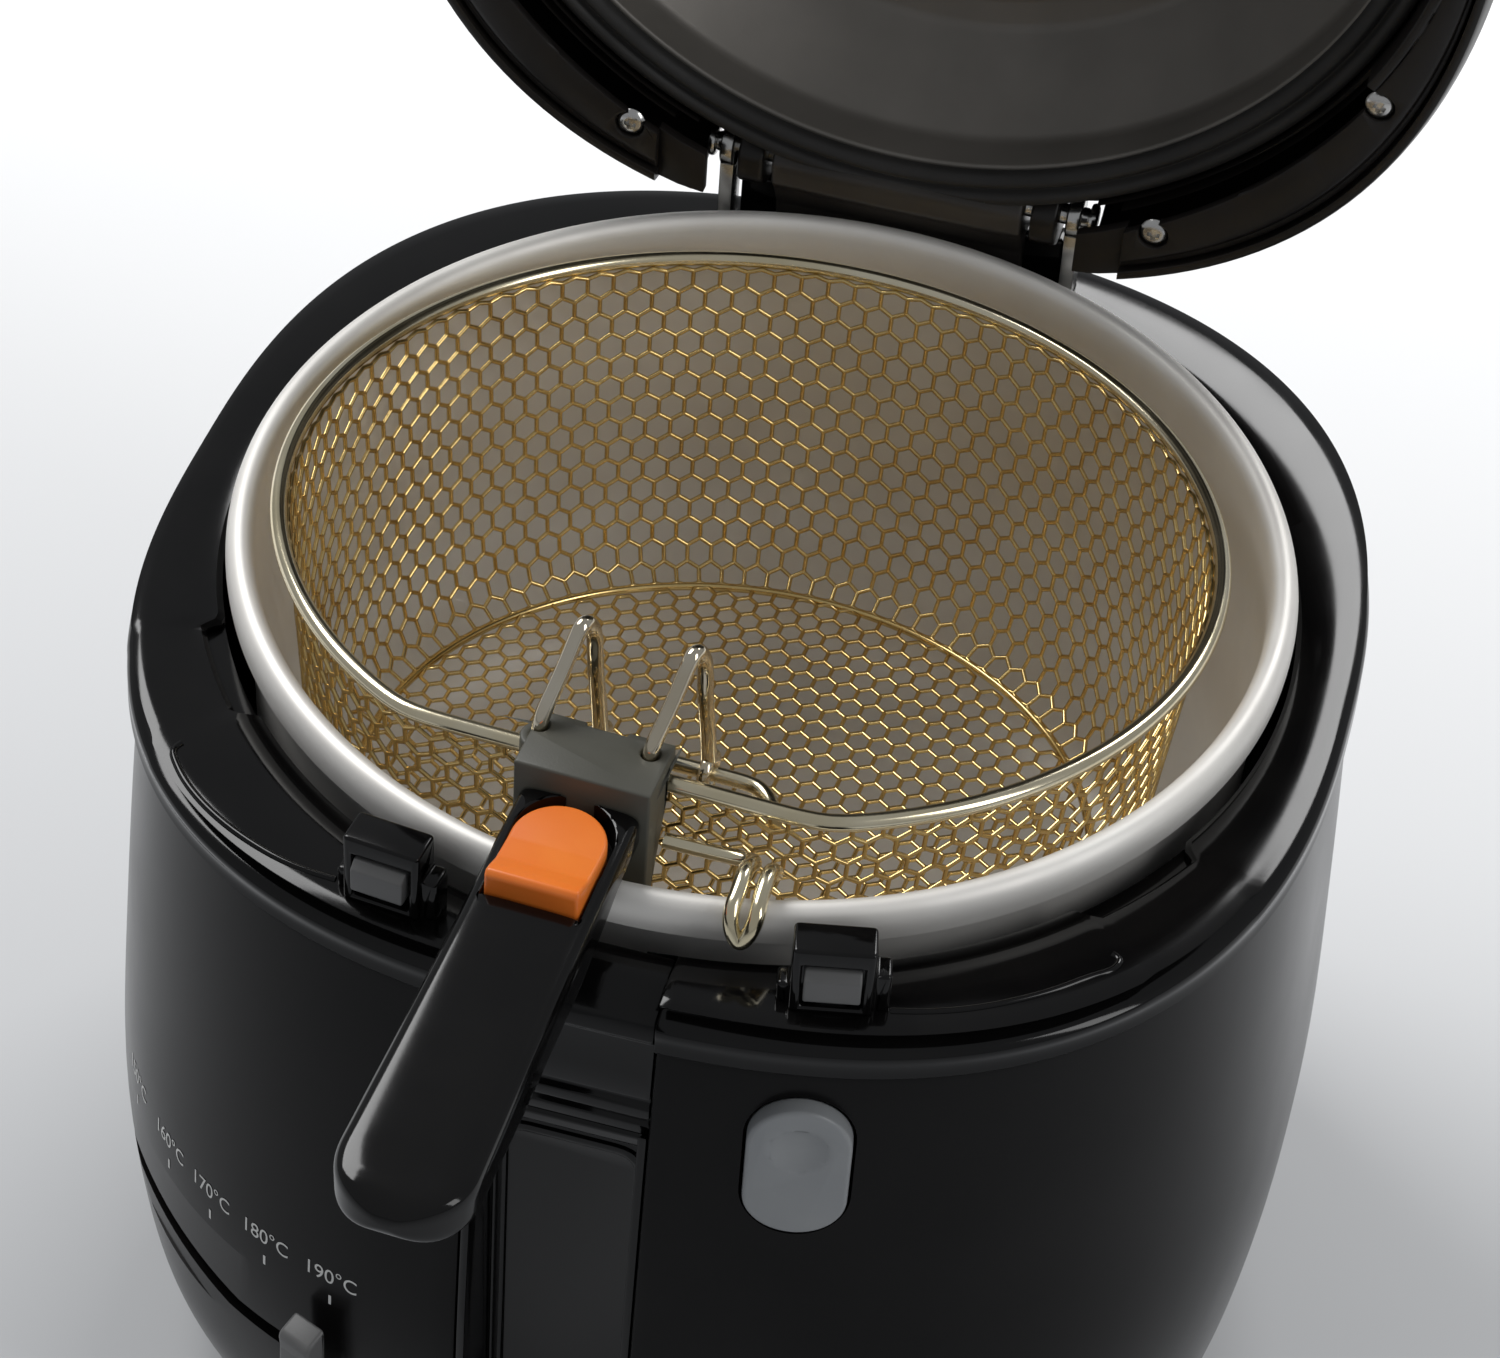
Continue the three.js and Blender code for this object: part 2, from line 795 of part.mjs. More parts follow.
function rimWire() {
  const loop = new THREE.TorusGeometry(BASKET_RADIUS, RIM_WIRE, 6, 60);
  return reshape(loop, (radius, angle) => {
    const moved = radius - BASKET_RADIUS + basketReach(angle);
    return [moved * Math.cos(angle), moved * Math.sin(angle)];
  });
}
piece(basket, "basket_rim_wire", rimWire(), FINISH.goldWire);

// Straight through both eyes, then out and forward to the flat front of the basket.
piece(
  handle,
  "basket_cross_wire",
  wire(
    [
      [-30, -11.4, 1.6],
      [-28, -6, 0.6],
      [-23, -0.6, 0],
      [-18, 0, 0],
      [0, 0, 0],
      [18, 0, 0],
      [23, -0.6, 0],
      [28, -6, 0.6],
      [30, -11.4, 1.6],
    ],
    WIRE,
    24,
    6,
  ),
  FINISH.goldWire,
);

// A side rod outside the basket that ends in a double hook over the bowl rim.
const hookPath = [
  [6, -100.2, 5],
  [20, -100.2, 5],
  [25.2, -101.6, 6.4],
  [25.6, -107, 10],
  [25.6, -114.5, 9.8],
  [25.7, -119.4, 6.4],
  [28, -120.4, 2.4],
  [30.3, -119.4, 6.4],
  [30.4, -114.5, 9.8],
  [30.4, -107, 10],
  [30.4, -102, 5],
];
piece(rimGroup, "basket_hook_wire", wire(hookPath, WIRE, 34, 6), FINISH.goldWire);

// ---------- folding handle ----------
const eyeRadius = WIRE + 2 * GAP + 1.5;
for (const [side, sign] of [["left", -1], ["right", 1]]) {
  const x = sign * EYE_HALF;
  const eye = new THREE.TorusGeometry(eyeRadius, 1.5, 6, 14)
    .rotateY(Math.PI / 2)
    .translate(x, 0, 0);
  const legs = wire(
    [
      [x - 7.4, -17.8, 15.2],
      [x - 7.4, -17.6, 19.6],
      [x - 4.2, -6.6, 33.6],
      [x - 3.4, -3.4, 35.8],
      [x - 2.6, -1, 33.6],
      [x - 0.6, -0.6, 14],
      [x, -0.2, eyeRadius],
    ],
    WIRE,
    22,
    6,
  );
  piece(handle, `hairpin_${side}`, join(eye, legs), FINISH.steel);
}

const bracketHalf = 14.7;
function bracket() {
  const profile = [
    [-13.6, 14.6],
    [-13.6, 19],
    [-30, 19],
    [-30, -13],
    [-28, -17.5],
    [-25.6, -20],
    [-25.6, 12],
    [-23, 14.6],
  ];
  const holes = [-1, 1].map((sign) =>
    disc(WIRE + 0.6, 10, 24, 14).translate(sign * EYE_HALF - 7.4, -17.8, 0),
  );
  return cut(
    sideways(profile, HANDLE_X - bracketHalf, HANDLE_X + bracketHalf),
    ...holes,
  );
}
piece(handle, "handle_bracket", bracket(), FINISH.bracketOlive);

const gripStart = -30 - GAP;
const button = { half: 10, front: -33.6, back: -59.6, travel: 3 };
function grip() {
  const end = 14.5;
  const plan = new THREE.Shape();
  plan.moveTo(HANDLE_X - 13, gripStart);
  plan.lineTo(HANDLE_X - end, -GRIP_LENGTH + end);
  plan.absarc(HANDLE_X, -GRIP_LENGTH + end, end, Math.PI, 2 * Math.PI, false);
  plan.lineTo(HANDLE_X + 13, gripStart);
  const side = [
    [gripStart, 13.4],
    [gripStart, 3.4],
    [-47, 3.4],
    [-58, -3],
    [-100, -6],
    [-132, -5.4],
    [-GRIP_LENGTH, -2],
    [-GRIP_LENGTH, 3],
    [-132, 6.4],
    [-70, 11],
  ];
  const pocket = block(
    [HANDLE_X - button.half - 0.6, button.back - 0.5, 6],
    [HANDLE_X + button.half + 0.6, button.front + button.travel + 0.1, 20],
  );
  return cut(
    common(plate(plan, -20, 30), sideways(side, HANDLE_X - 20, HANDLE_X + 20)),
    pocket,
  );
}
piece(handle, "handle_grip", grip(), FINISH.glossBlack);

function handleButton() {
  const plan = new THREE.Shape();
  const r = button.half;
  plan.moveTo(HANDLE_X + r, button.back);
  plan.lineTo(HANDLE_X + r, button.front - r);
  plan.absarc(HANDLE_X, button.front - r, r, 0, Math.PI, false);
  plan.lineTo(HANDLE_X - r, button.back);
  const side = [
    [button.back, 6.4],
    [button.back, 16.6],
    [button.back + 5, 16.2],
    [button.front, 14],
    [button.front, 6.4],
  ];
  return common(plate(plan, 0, 30), sideways(side, HANDLE_X - r, HANDLE_X + r));
}
piece(handle, "handle_button", handleButton(), FINISH.orange);
piece(
  handle,
  "handle_lock_bolt",
  block([HANDLE_X - 3, -30 + 4.7, -4], [HANDLE_X + 3, -30 + 5.4, 2]),
  FINISH.steel,
);

export default fryer;
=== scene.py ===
import json
import math

import bmesh
import bpy
import numpy as np
from mathutils import Matrix, Vector


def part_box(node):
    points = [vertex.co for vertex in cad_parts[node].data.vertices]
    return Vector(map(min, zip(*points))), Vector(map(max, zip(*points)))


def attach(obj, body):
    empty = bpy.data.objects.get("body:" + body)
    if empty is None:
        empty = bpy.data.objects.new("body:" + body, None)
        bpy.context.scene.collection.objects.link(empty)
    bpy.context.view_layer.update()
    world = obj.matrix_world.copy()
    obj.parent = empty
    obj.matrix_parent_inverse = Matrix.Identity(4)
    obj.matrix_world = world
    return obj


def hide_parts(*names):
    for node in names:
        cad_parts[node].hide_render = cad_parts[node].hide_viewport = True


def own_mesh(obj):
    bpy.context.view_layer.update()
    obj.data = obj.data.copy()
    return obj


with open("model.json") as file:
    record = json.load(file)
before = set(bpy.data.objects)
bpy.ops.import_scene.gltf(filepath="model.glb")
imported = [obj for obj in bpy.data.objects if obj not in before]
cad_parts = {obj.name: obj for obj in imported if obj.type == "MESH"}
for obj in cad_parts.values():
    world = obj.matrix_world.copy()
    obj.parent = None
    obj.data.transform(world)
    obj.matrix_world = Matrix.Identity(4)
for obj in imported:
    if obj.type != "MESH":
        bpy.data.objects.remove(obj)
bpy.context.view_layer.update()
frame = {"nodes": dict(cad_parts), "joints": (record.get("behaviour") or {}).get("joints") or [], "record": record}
print("frame loaded")

# Shapes are drawn in millimetres round the bowl axis, with heights from the bowl's rim plane.
joints = {joint["name"]: joint for joint in frame["joints"]}
bowlAxis = Vector(joints["temperature_slide"]["pos_m"])
toMetres = Matrix.Scale(0.001, 4)
rimPlace = Matrix.Translation((bowlAxis.x, bowlAxis.y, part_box("bowl")[1].z - 0.006)) @ toMetres


def jointPoint(name):  # where a joint turns, in millimetres from the rim's centre
    return rimPlace.inverted() @ Vector(joints[name]["pos_m"])


def turnX(degrees):
    return Matrix.Rotation(math.radians(degrees), 4, "X")


def turnZ(degrees):
    return Matrix.Rotation(math.radians(degrees), 4, "Z")


hingePoint = jointPoint("lid_hinge")
pivotPoint = jointPoint("handle_fold")
yaw = math.degrees(math.atan2(joints["handle_fold"]["axis"][1], joints["handle_fold"]["axis"][0]))
# Lid pieces are drawn shut and stand open.
lidPlace = rimPlace @ Matrix.Translation(hingePoint) @ turnX(-90) @ Matrix.Translation(-hingePoint)
basketPlace = rimPlace @ Matrix.Translation((pivotPoint.x, 0.3, 7.9)) @ turnZ(yaw) @ turnX(-4.85)
handlePlace = rimPlace @ Matrix.Translation(pivotPoint) @ turnZ(yaw)


# Shape helpers.
def smoothLine(points, count):  # natural cubic spline through the points
    p = np.array(points, float)
    t = np.concatenate([[0], np.cumsum(np.linalg.norm(np.diff(p, axis=0), axis=1))])
    n, h = len(p), np.diff(t)
    a, b = np.eye(n), np.zeros_like(p)
    for i in range(1, n - 1):
        a[i, i - 1 : i + 2] = h[i - 1], 2 * (h[i - 1] + h[i]), h[i]
        b[i] = 6 * ((p[i + 1] - p[i]) / h[i] - (p[i] - p[i - 1]) / h[i - 1])
    m = np.linalg.solve(a, b)
    out = []
    for s in np.linspace(0, t[-1], count):
        i = min(max(int(np.searchsorted(t, s)) - 1, 0), n - 2)
        u, v = t[i + 1] - s, s - t[i]
        out.append(
            m[i] * u**3 / (6 * h[i]) + m[i + 1] * v**3 / (6 * h[i]) + (p[i] / h[i] - m[i] * h[i] / 6) * u
            + (p[i + 1] / h[i] - m[i + 1] * h[i] / 6) * v
        )
    return np.array(out)


def curvedProfile(points, count):
    return [tuple(point) for point in smoothLine(points, count)]


def roundedOutline(corners, steps=4):  # closed outline from (x, y, radius) corners
    out, n = [], len(corners)
    for i in range(n):
        x, y, radius = corners[i]
        p = np.array([x, y], float)
        if radius <= 0:
            out.append(tuple(p))
            continue
        a = np.array(corners[i - 1][:2], float) - p
        b = np.array(corners[(i + 1) % n][:2], float) - p
        la, lb = np.linalg.norm(a), np.linalg.norm(b)
        half = math.acos(max(-1, min(1, float(a @ b) / (la * lb)))) / 2
        reach = min(radius / math.tan(max(half, 0.05)), 0.49 * la, 0.49 * lb)
        pa, pb = p + a / la * reach, p + b / lb * reach
        for k in range(steps + 1):
            u = k / steps
            out.append(tuple((1 - u) ** 2 * pa + 2 * u * (1 - u) * p + u * u * pb))
    return out


def pillOutline(width, height, steps=20):
    r, straight = width / 2, height / 2 - width / 2
    top = [
        (r * math.cos(math.pi * k / steps), straight + r * math.sin(math.pi * k / steps))
        for k in range(steps + 1)
    ]
    return top + [(-x, -y) for x, y in top]


def gridFaces(rows, cols, wrapRows):  # quads between the points of a grid whose columns close on themselves
    faces = []
    for i in range(rows if wrapRows else rows - 1):
        here, above = i * cols, (i + 1) % rows * cols
        for j in range(cols):
            ahead = (j + 1) % cols
            faces.append((here + j, here + ahead, above + ahead, above + j))
    return faces


# A profile of (radius, height) turned round Z. A reach function makes the plan other than round.
def turned(profile, steps=96, closed=True, reach=None, angles=None):
    angles = np.linspace(0, 2 * math.pi, steps, endpoint=False) if angles is None else np.array(angles)
    points = []
    for row in profile:
        radii = [reach(row[0], a) for a in angles] if reach else [row[0]] * len(angles)
        points += [(r * math.cos(a), r * math.sin(a), row[1]) for r, a in zip(radii, angles)]
    return points, gridFaces(len(profile), len(angles), closed)


def prism(outline, low, high, axis="Z"):  # outline pushed between two heights
    n = len(outline)
    order = {
        "Z": lambda a, b, c: (a, b, c), "X": lambda a, b, c: (c, a, b), "Y": lambda a, b, c: (a, c, b)
    }[axis]
    points = [order(x, y, low) for x, y in outline] + [order(x, y, high) for x, y in outline]
    faces = [tuple(range(n)), tuple(range(2 * n - 1, n - 1, -1))]
    return points, faces + [(i, (i + 1) % n, n + (i + 1) % n, n + i) for i in range(n)]


def block(low, high):
    return prism(
        [(low[0], low[1]), (high[0], low[1]), (high[0], high[1]), (low[0], high[1])], low[2], high[2]
    )


def arcBand(inner, outer, low, high, start, end, steps=24):
    angles = [math.radians(start + (end - start) * k / steps) for k in range(steps + 1)]
    outline = [(outer * math.cos(a), outer * math.sin(a)) for a in angles]
    outline += [(inner * math.cos(a), inner * math.sin(a)) for a in reversed(angles)]
    return prism(outline, low, high)


def tube(path, radius, sides=12, closed=False):  # a round wire along the path
    p = np.array(path, float)
    n = len(p)
    ahead = np.roll(p, -1, 0) - np.roll(p, 1, 0) if closed else np.gradient(p, axis=0)
    ahead /= np.linalg.norm(ahead, axis=1)[:, None]
    side = np.cross(ahead[0], [0, 0, 1] if abs(ahead[0][2]) < 0.9 else [1, 0, 0])
    points = []
    for i in range(n):
        side = side - ahead[i] * (side @ ahead[i])
        side /= np.linalg.norm(side)
        up = np.cross(ahead[i], side)
        points += [
            tuple(p[i] + radius * (math.cos(t) * side + math.sin(t) * up))
            for t in np.linspace(0, 2 * math.pi, sides, endpoint=False)
        ]
    faces = gridFaces(n, sides, closed)
    if not closed:
        faces += [tuple(range(sides)), tuple(range(n * sides - 1, (n - 1) * sides - 1, -1))]
    return points, faces


def merged(*shapes):
    points, faces = [], []
    for p, f in shapes:
        faces += [tuple(i + len(points) for i in face) for face in f]
        points += list(p)
    return points, faces


def moved(shape, matrix):
    return [tuple(matrix @ Vector(p)) for p in shape[0]], shape[1]


# Object helpers.
def linked(name, data):  # an object in the scene that shows the data
    obj = bpy.data.objects.new(name, data)
    bpy.context.scene.collection.objects.link(obj)
    return obj


def plainObject(name, points, edges=(), faces=()):
    mesh = bpy.data.meshes.new(name)
    mesh.from_pydata(points, edges, faces)
    return linked(name, mesh)


# A shape as an object, with its doubles merged and its faces turned outwards.
def rawObject(name, shape, place):
    mesh = bpy.data.meshes.new(name)
    mesh.from_pydata([tuple(place @ Vector(p)) for p in shape[0]], [], shape[1])
    bm = bmesh.new()
    bm.from_mesh(mesh)
    bmesh.ops.remove_doubles(bm, verts=bm.verts, dist=2e-6)
    bmesh.ops.recalc_face_normals(bm, faces=bm.faces)
    bm.to_mesh(mesh)
    bm.free()
    return linked(name, mesh)


def applied(obj):  # the modifiers' result as a plain mesh
    graph = bpy.context.evaluated_depsgraph_get()
    mesh = bpy.data.meshes.new_from_object(obj.evaluated_get(graph))
    obj.modifiers.clear()
    obj.data = mesh
    return obj


def carved(obj, place, shapes, operation="DIFFERENCE"):
    cutters = [rawObject("cutter", shape, place) for shape in shapes]
    for cutter in cutters:
        step = obj.modifiers.new("carve", "BOOLEAN")
        step.operation, step.object, step.solver = operation, cutter, "EXACT"
    applied(obj)
    for cutter in cutters:
        bpy.data.objects.remove(cutter)
    return obj


def carvedEach(obj, place, shapes):  # cuts one after another, for cutters that overlap
    for shape in shapes:
        carved(obj, place, [shape])
    return obj


def softened(obj, width, segments=3, angle=38, merge=0.05):  # rounds the sharp edges, width in millimetres
    bm = bmesh.new()
    bm.from_mesh(obj.data)
    bmesh.ops.remove_doubles(bm, verts=bm.verts, dist=merge * 0.001)
    bmesh.ops.dissolve_degenerate(bm, edges=bm.edges, dist=1e-6)
    bm.to_mesh(obj.data)
    bm.free()
    step = obj.modifiers.new("soften", "BEVEL")
    step.width, step.segments, step.limit_method = width * 0.001, segments, "ANGLE"
    step.angle_limit, step.use_clamp_overlap = math.radians(angle), False
    return applied(obj)


def shaded(obj, angle=40):
    bm = bmesh.new()
    bm.from_mesh(obj.data)
    for face in bm.faces:
        face.smooth = True
    for edge in bm.edges:
        edge.smooth = not (len(edge.link_faces) == 2 and edge.calc_face_angle(0) > math.radians(angle))
    bm.to_mesh(obj.data)
    bm.free()
    return obj


def placed(obj, body, finish, nodes=(), angle=40):  # finish, shading and the body it moves with
    obj.data.materials.clear()
    obj.data.materials.append(finishes[finish])
    shaded(obj, angle)
    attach(obj, body)
    if nodes:
        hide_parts(*nodes)
    return obj


# Finishes.
finishLooks = {
    "bodyBlack": dict(
        slot="body_black", colour=(0.0030, 0.0028, 0.0028), other=(0.0052, 0.0048, 0.0048),
        rough=(0.20, 0.25), grain=(2600, 0.05, 0.00004), shine=0.13, patch=22, smudge=26,
    ),
    "glossBlack": dict(
        slot="gloss_black", colour=(0.0022, 0.0021, 0.0022), other=(0.0040, 0.0037, 0.0036),
        rough=(0.08, 0.12), grain=(700, 0.03, 0.00004), shine=0.32,
    ),
    "satinBlack": dict(
        slot="satin_black", colour=(0.0085, 0.0075, 0.0068), other=(0.0140, 0.0120, 0.0105),
        rough=(0.30, 0.40), grain=(2200, 0.16, 0.00006), shine=0.34,
    ),
    # A lighter copy of satin black: painted light on the hinge barrel, which sits in the lid's shadow.
    "barrelSatinPaintedLight": dict(
        slot="satin_black", colour=(0.034, 0.030, 0.027), other=(0.046, 0.041, 0.036), rough=(0.32, 0.42),
        grain=(2200, 0.18, 0.00006),
    ),
    "linerBlack": dict(
        slot="liner_black", colour=(0.0070, 0.0060, 0.0055), other=(0.0120, 0.0100, 0.0090),
        rough=(0.36, 0.48), grain=(2600, 0.25, 0.00008), shine=0.36,
    ),
    "rubberBlack": dict(
        slot="rubber_black", colour=(0.010, 0.0095, 0.009), other=(0.018, 0.017, 0.016), rough=(0.58, 0.72),
        grain=(1500, 0.35, 0.0001),
    ),
    "bowlMetal": dict(
        slot="bowl_metal", colour=(0.80, 0.775, 0.735), other=(0.86, 0.84, 0.80), rough=(0.50, 0.58),
        grain=(3000, 0.05, 0.00004), metal=0.55, spun=1,
    ),
    "platePaint": dict(
        slot="plate_paint", colour=(0.155, 0.145, 0.130), other=(0.185, 0.172, 0.155), rough=(0.40, 0.50),
        grain=(2400, 0.2, 0.00008), metal=0.45,
    ),
    "steel": dict(
        slot="steel", colour=(0.56, 0.56, 0.55), other=(0.66, 0.65, 0.63), rough=(0.18, 0.30),
        grain=(1800, 0.12, 0.00005), metal=1,
    ),
    "goldWire": dict(
        slot="gold_wire", colour=(0.80, 0.60, 0.26), other=(0.62, 0.43, 0.17), rough=(0.13, 0.26),
        grain=(1400, 0.1, 0.00005), metal=1,
    ),
    "paleWire": dict(
        slot="gold_wire", colour=(0.84, 0.77, 0.58), other=(0.72, 0.63, 0.42), rough=(0.12, 0.22),
        grain=(1400, 0.06, 0.00004), metal=1,
    ),
    "chromeWire": dict(
        slot="chrome_wire", colour=(0.74, 0.68, 0.56), other=(0.62, 0.54, 0.40), rough=(0.05, 0.10),
        grain=(1200, 0.03, 0.00004), metal=1,
    ),
    "greySatin": dict(
        slot="grey_satin", colour=(0.105, 0.105, 0.105), other=(0.13, 0.13, 0.128), rough=(0.36, 0.46),
        grain=(2400, 0.2, 0.00008),
    ),
    "paleGrey": dict(
        slot="pale_grey", colour=(0.25, 0.26, 0.27), other=(0.285, 0.295, 0.30), rough=(0.33, 0.42),
        grain=(2600, 0.16, 0.00007),
    ),
    "orange": dict(
        slot="orange", colour=(0.83, 0.185, 0.022), other=(0.90, 0.235, 0.034), rough=(0.32, 0.42),
        grain=(2400, 0.18, 0.00007), soft=0.06,
    ),
    "bracketOlive": dict(
        slot="bracket_olive", colour=(0.066, 0.065, 0.052), other=(0.084, 0.082, 0.066), rough=(0.42, 0.54),
        grain=(2200, 0.28, 0.0001),
    ),
    "ceramic": dict(
        slot="ceramic", colour=(0.66, 0.63, 0.55), other=(0.74, 0.72, 0.65), rough=(0.5, 0.62),
        grain=(1600, 0.3, 0.0001),
    ),
    "filterFelt": dict(
        slot="filter_felt", colour=(0.26, 0.26, 0.25), other=(0.34, 0.34, 0.33), rough=(0.85, 0.95),
        grain=(900, 0.7, 0.0003),
    ),
    "printWhite": dict(
        slot="pale_grey", colour=(0.62, 0.62, 0.60), other=(0.70, 0.70, 0.68), rough=(0.40, 0.50),
        grain=(2600, 0.1, 0.00004),
    ),
}


def makeFinish(name, look):
    material = bpy.data.materials.new(name)
    material["slot"] = look["slot"]
    material.use_nodes = True
    nodes, links = material.node_tree.nodes, material.node_tree.links
    nodes.clear()

    def add(kind, **values):
        node = nodes.new(kind)
        for key, value in values.items():
            setattr(node, key, value)
        return node

    out, shader = add("ShaderNodeOutputMaterial"), add("ShaderNodeBsdfPrincipled")
    links.new(shader.outputs["BSDF"], out.inputs["Surface"])
    place = add("ShaderNodeTexCoord").outputs["Object"]

    def noise(scale, detail):
        node = add("ShaderNodeTexNoise")
        node.inputs["Scale"].default_value, node.inputs["Detail"].default_value = scale, detail
        links.new(place, node.inputs["Vector"])
        return node.outputs["Fac"]

    # Broad patches of colour, as moulding, heat or handling leave.
    ramp = add("ShaderNodeValToRGB")
    for element, spot, key in zip(ramp.color_ramp.elements, (0.35, 0.68), ("colour", "other")):
        element.position, element.color = spot, (*look[key], 1)
    links.new(noise(look.get("patch", 38), 5), ramp.inputs["Fac"])
    links.new(ramp.outputs["Color"], shader.inputs["Base Color"])

    # Gloss differs a little from place to place, where hands have been.
    gloss = add("ShaderNodeMapRange")
    gloss.inputs["From Min"].default_value, gloss.inputs["From Max"].default_value = 0.3, 0.7
    gloss.inputs["To Min"].default_value, gloss.inputs["To Max"].default_value = look["rough"]
    links.new(noise(look.get("smudge", 60), 6), gloss.inputs["Value"])
    links.new(gloss.outputs["Result"], shader.inputs["Roughness"])

    scale, strength, distance = look["grain"]
    bump = add("ShaderNodeBump")
    bump.inputs["Strength"].default_value, bump.inputs["Distance"].default_value = strength, distance
    links.new(noise(scale, 3), bump.inputs["Height"])
    if look.get("spun"):  # fine rings left by spinning, round the bowl axis
        centre = add("ShaderNodeMapping")
        centre.inputs["Location"].default_value = (-bowlAxis.x, -bowlAxis.y, 0)
        links.new(place, centre.inputs["Vector"])
        rings = add("ShaderNodeTexWave", wave_type="RINGS", rings_direction="Z")
        for key, value in {"Scale": 240, "Distortion": 1.5, "Detail": 3, "Detail Scale": 2}.items():
            rings.inputs[key].default_value = value
        links.new(centre.outputs["Vector"], rings.inputs["Vector"])
        spin = add("ShaderNodeBump")
        spin.inputs["Strength"].default_value, spin.inputs["Distance"].default_value = 0.12, 0.00004
        links.new(rings.outputs["Fac"], spin.inputs["Height"])
        links.new(bump.outputs["Normal"], spin.inputs["Normal"])
        bump = spin
    links.new(bump.outputs["Normal"], shader.inputs["Normal"])
    shader.inputs["Metallic"].default_value = look.get("metal", 0)
    shader.inputs["Specular IOR Level"].default_value = look.get("shine", 0.5)
    if look.get("soft"):
        shader.inputs["Subsurface Weight"].default_value = look["soft"]
        shader.inputs["Subsurface Scale"].default_value = 0.002
    return material


finishes = {name: makeFinish(name, look) for name, look in finishLooks.items()}
slotFinish = {look["slot"]: name for name, look in reversed(list(finishLooks.items()))}
for row in frame["record"]["subparts"]:
    node = frame["nodes"][row["node"]]
    node.data.materials.clear()
    node.data.materials.append(finishes[slotFinish[row["material_slot"]]])
print("finishes made")


# Geometry nodes.
def newTree(name, inputs):
    tree = bpy.data.node_groups.new(name, "GeometryNodeTree")
    tree.interface.new_socket("Geometry", in_out="INPUT", socket_type="NodeSocketGeometry")
    sockets = {
        label: tree.interface.new_socket(label, in_out="INPUT", socket_type=kind).identifier
        for label, kind in inputs
    }
    tree.interface.new_socket("Geometry", in_out="OUTPUT", socket_type="NodeSocketGeometry")
    return tree, sockets, tree.nodes.new("NodeGroupInput"), tree.nodes.new("NodeGroupOutput")


def chain(tree, start, *steps):  # links nodes one after another through their geometry sockets
    last = start
    for node, socketIn, socketOut in steps:
        tree.links.new(last, node.inputs[socketIn])
        last = node.outputs[socketOut]
    return last


def wireTree():  # round wire along every edge of a mesh
    tree, sockets, start, end = newTree(
        "wireNet",
        [("Radius", "NodeSocketFloat"), ("Sides", "NodeSocketInt"), ("Material", "NodeSocketMaterial")],
    )
    make = tree.nodes.new
    curve, pipe, ring, real, paint = (
        make(kind)
        for kind in (
            "GeometryNodeMeshToCurve", "GeometryNodeCurveToMesh", "GeometryNodeCurvePrimitiveCircle",
            "GeometryNodeRealizeInstances", "GeometryNodeSetMaterial",
        )
    )
    tree.links.new(start.outputs["Radius"], ring.inputs["Radius"])
    tree.links.new(start.outputs["Sides"], ring.inputs["Resolution"])
    tree.links.new(ring.outputs["Curve"], pipe.inputs["Profile Curve"])
    tree.links.new(start.outputs["Material"], paint.inputs["Material"])
    last = chain(
        tree, start.outputs["Geometry"], (curve, "Mesh", "Curve"), (pipe, "Curve", "Mesh"),
        (real, "Geometry", "Geometry"), (paint, "Geometry", "Geometry"),
    )
    tree.links.new(last, end.inputs["Geometry"])
    return tree, sockets


def copyTree():  # one object at every point, each turned a little at random about its own axis
    tree, sockets, start, end = newTree(
        "placeCopies",
        [
            ("Copy", "NodeSocketObject"), ("Turn", "NodeSocketVector"), ("Spin", "NodeSocketFloat"),
            ("Seed", "NodeSocketInt"), ("Material", "NodeSocketMaterial"),
        ],
    )
    make = tree.nodes.new
    info, onPoints, spin, joinXyz, random, real, paint = (
        make(kind) for kind in (
            "GeometryNodeObjectInfo", "GeometryNodeInstanceOnPoints", "GeometryNodeRotateInstances",
            "ShaderNodeCombineXYZ", "FunctionNodeRandomValue", "GeometryNodeRealizeInstances",
            "GeometryNodeSetMaterial",
        )
    )
    toTurn, toSpin = make("FunctionNodeEulerToRotation"), make("FunctionNodeEulerToRotation")
    tree.links.new(start.outputs["Copy"], info.inputs["Object"])
    tree.links.new(info.outputs["Geometry"], onPoints.inputs["Instance"])
    tree.links.new(start.outputs["Turn"], toTurn.inputs["Euler"])
    tree.links.new(toTurn.outputs["Rotation"], onPoints.inputs["Rotation"])
    random.data_type = "FLOAT"
    tree.links.new(start.outputs["Spin"], random.inputs["Max"])
    tree.links.new(start.outputs["Seed"], random.inputs["Seed"])
    tree.links.new(random.outputs["Value"], joinXyz.inputs["Z"])
    tree.links.new(joinXyz.outputs["Vector"], toSpin.inputs["Euler"])
    tree.links.new(toSpin.outputs["Rotation"], spin.inputs["Rotation"])
    tree.links.new(start.outputs["Material"], paint.inputs["Material"])
    last = chain(
        tree, start.outputs["Geometry"], (onPoints, "Points", "Instances"),
        (spin, "Instances", "Instances"), (real, "Geometry", "Geometry"), (paint, "Geometry", "Geometry"),
    )
    tree.links.new(last, end.inputs["Geometry"])
    return tree, sockets


def grown(obj, treeAndSockets, values):  # runs a tree on the object and keeps the plain mesh
    tree, sockets = treeAndSockets
    step = obj.modifiers.new(tree.name, "NODES")
    step.node_group = tree
    for label, value in values.items():
        step[sockets[label]] = value
    return applied(obj)


wireNet, placeCopies = wireTree(), copyTree()


def copiesAt(name, copy, points, turn, finish, spin=0.0, seed=3):
    values = {"Copy": copy, "Turn": turn, "Spin": spin, "Seed": seed, "Material": finishes[finish]}
    return grown(plainObject(name, points), placeCopies, values)


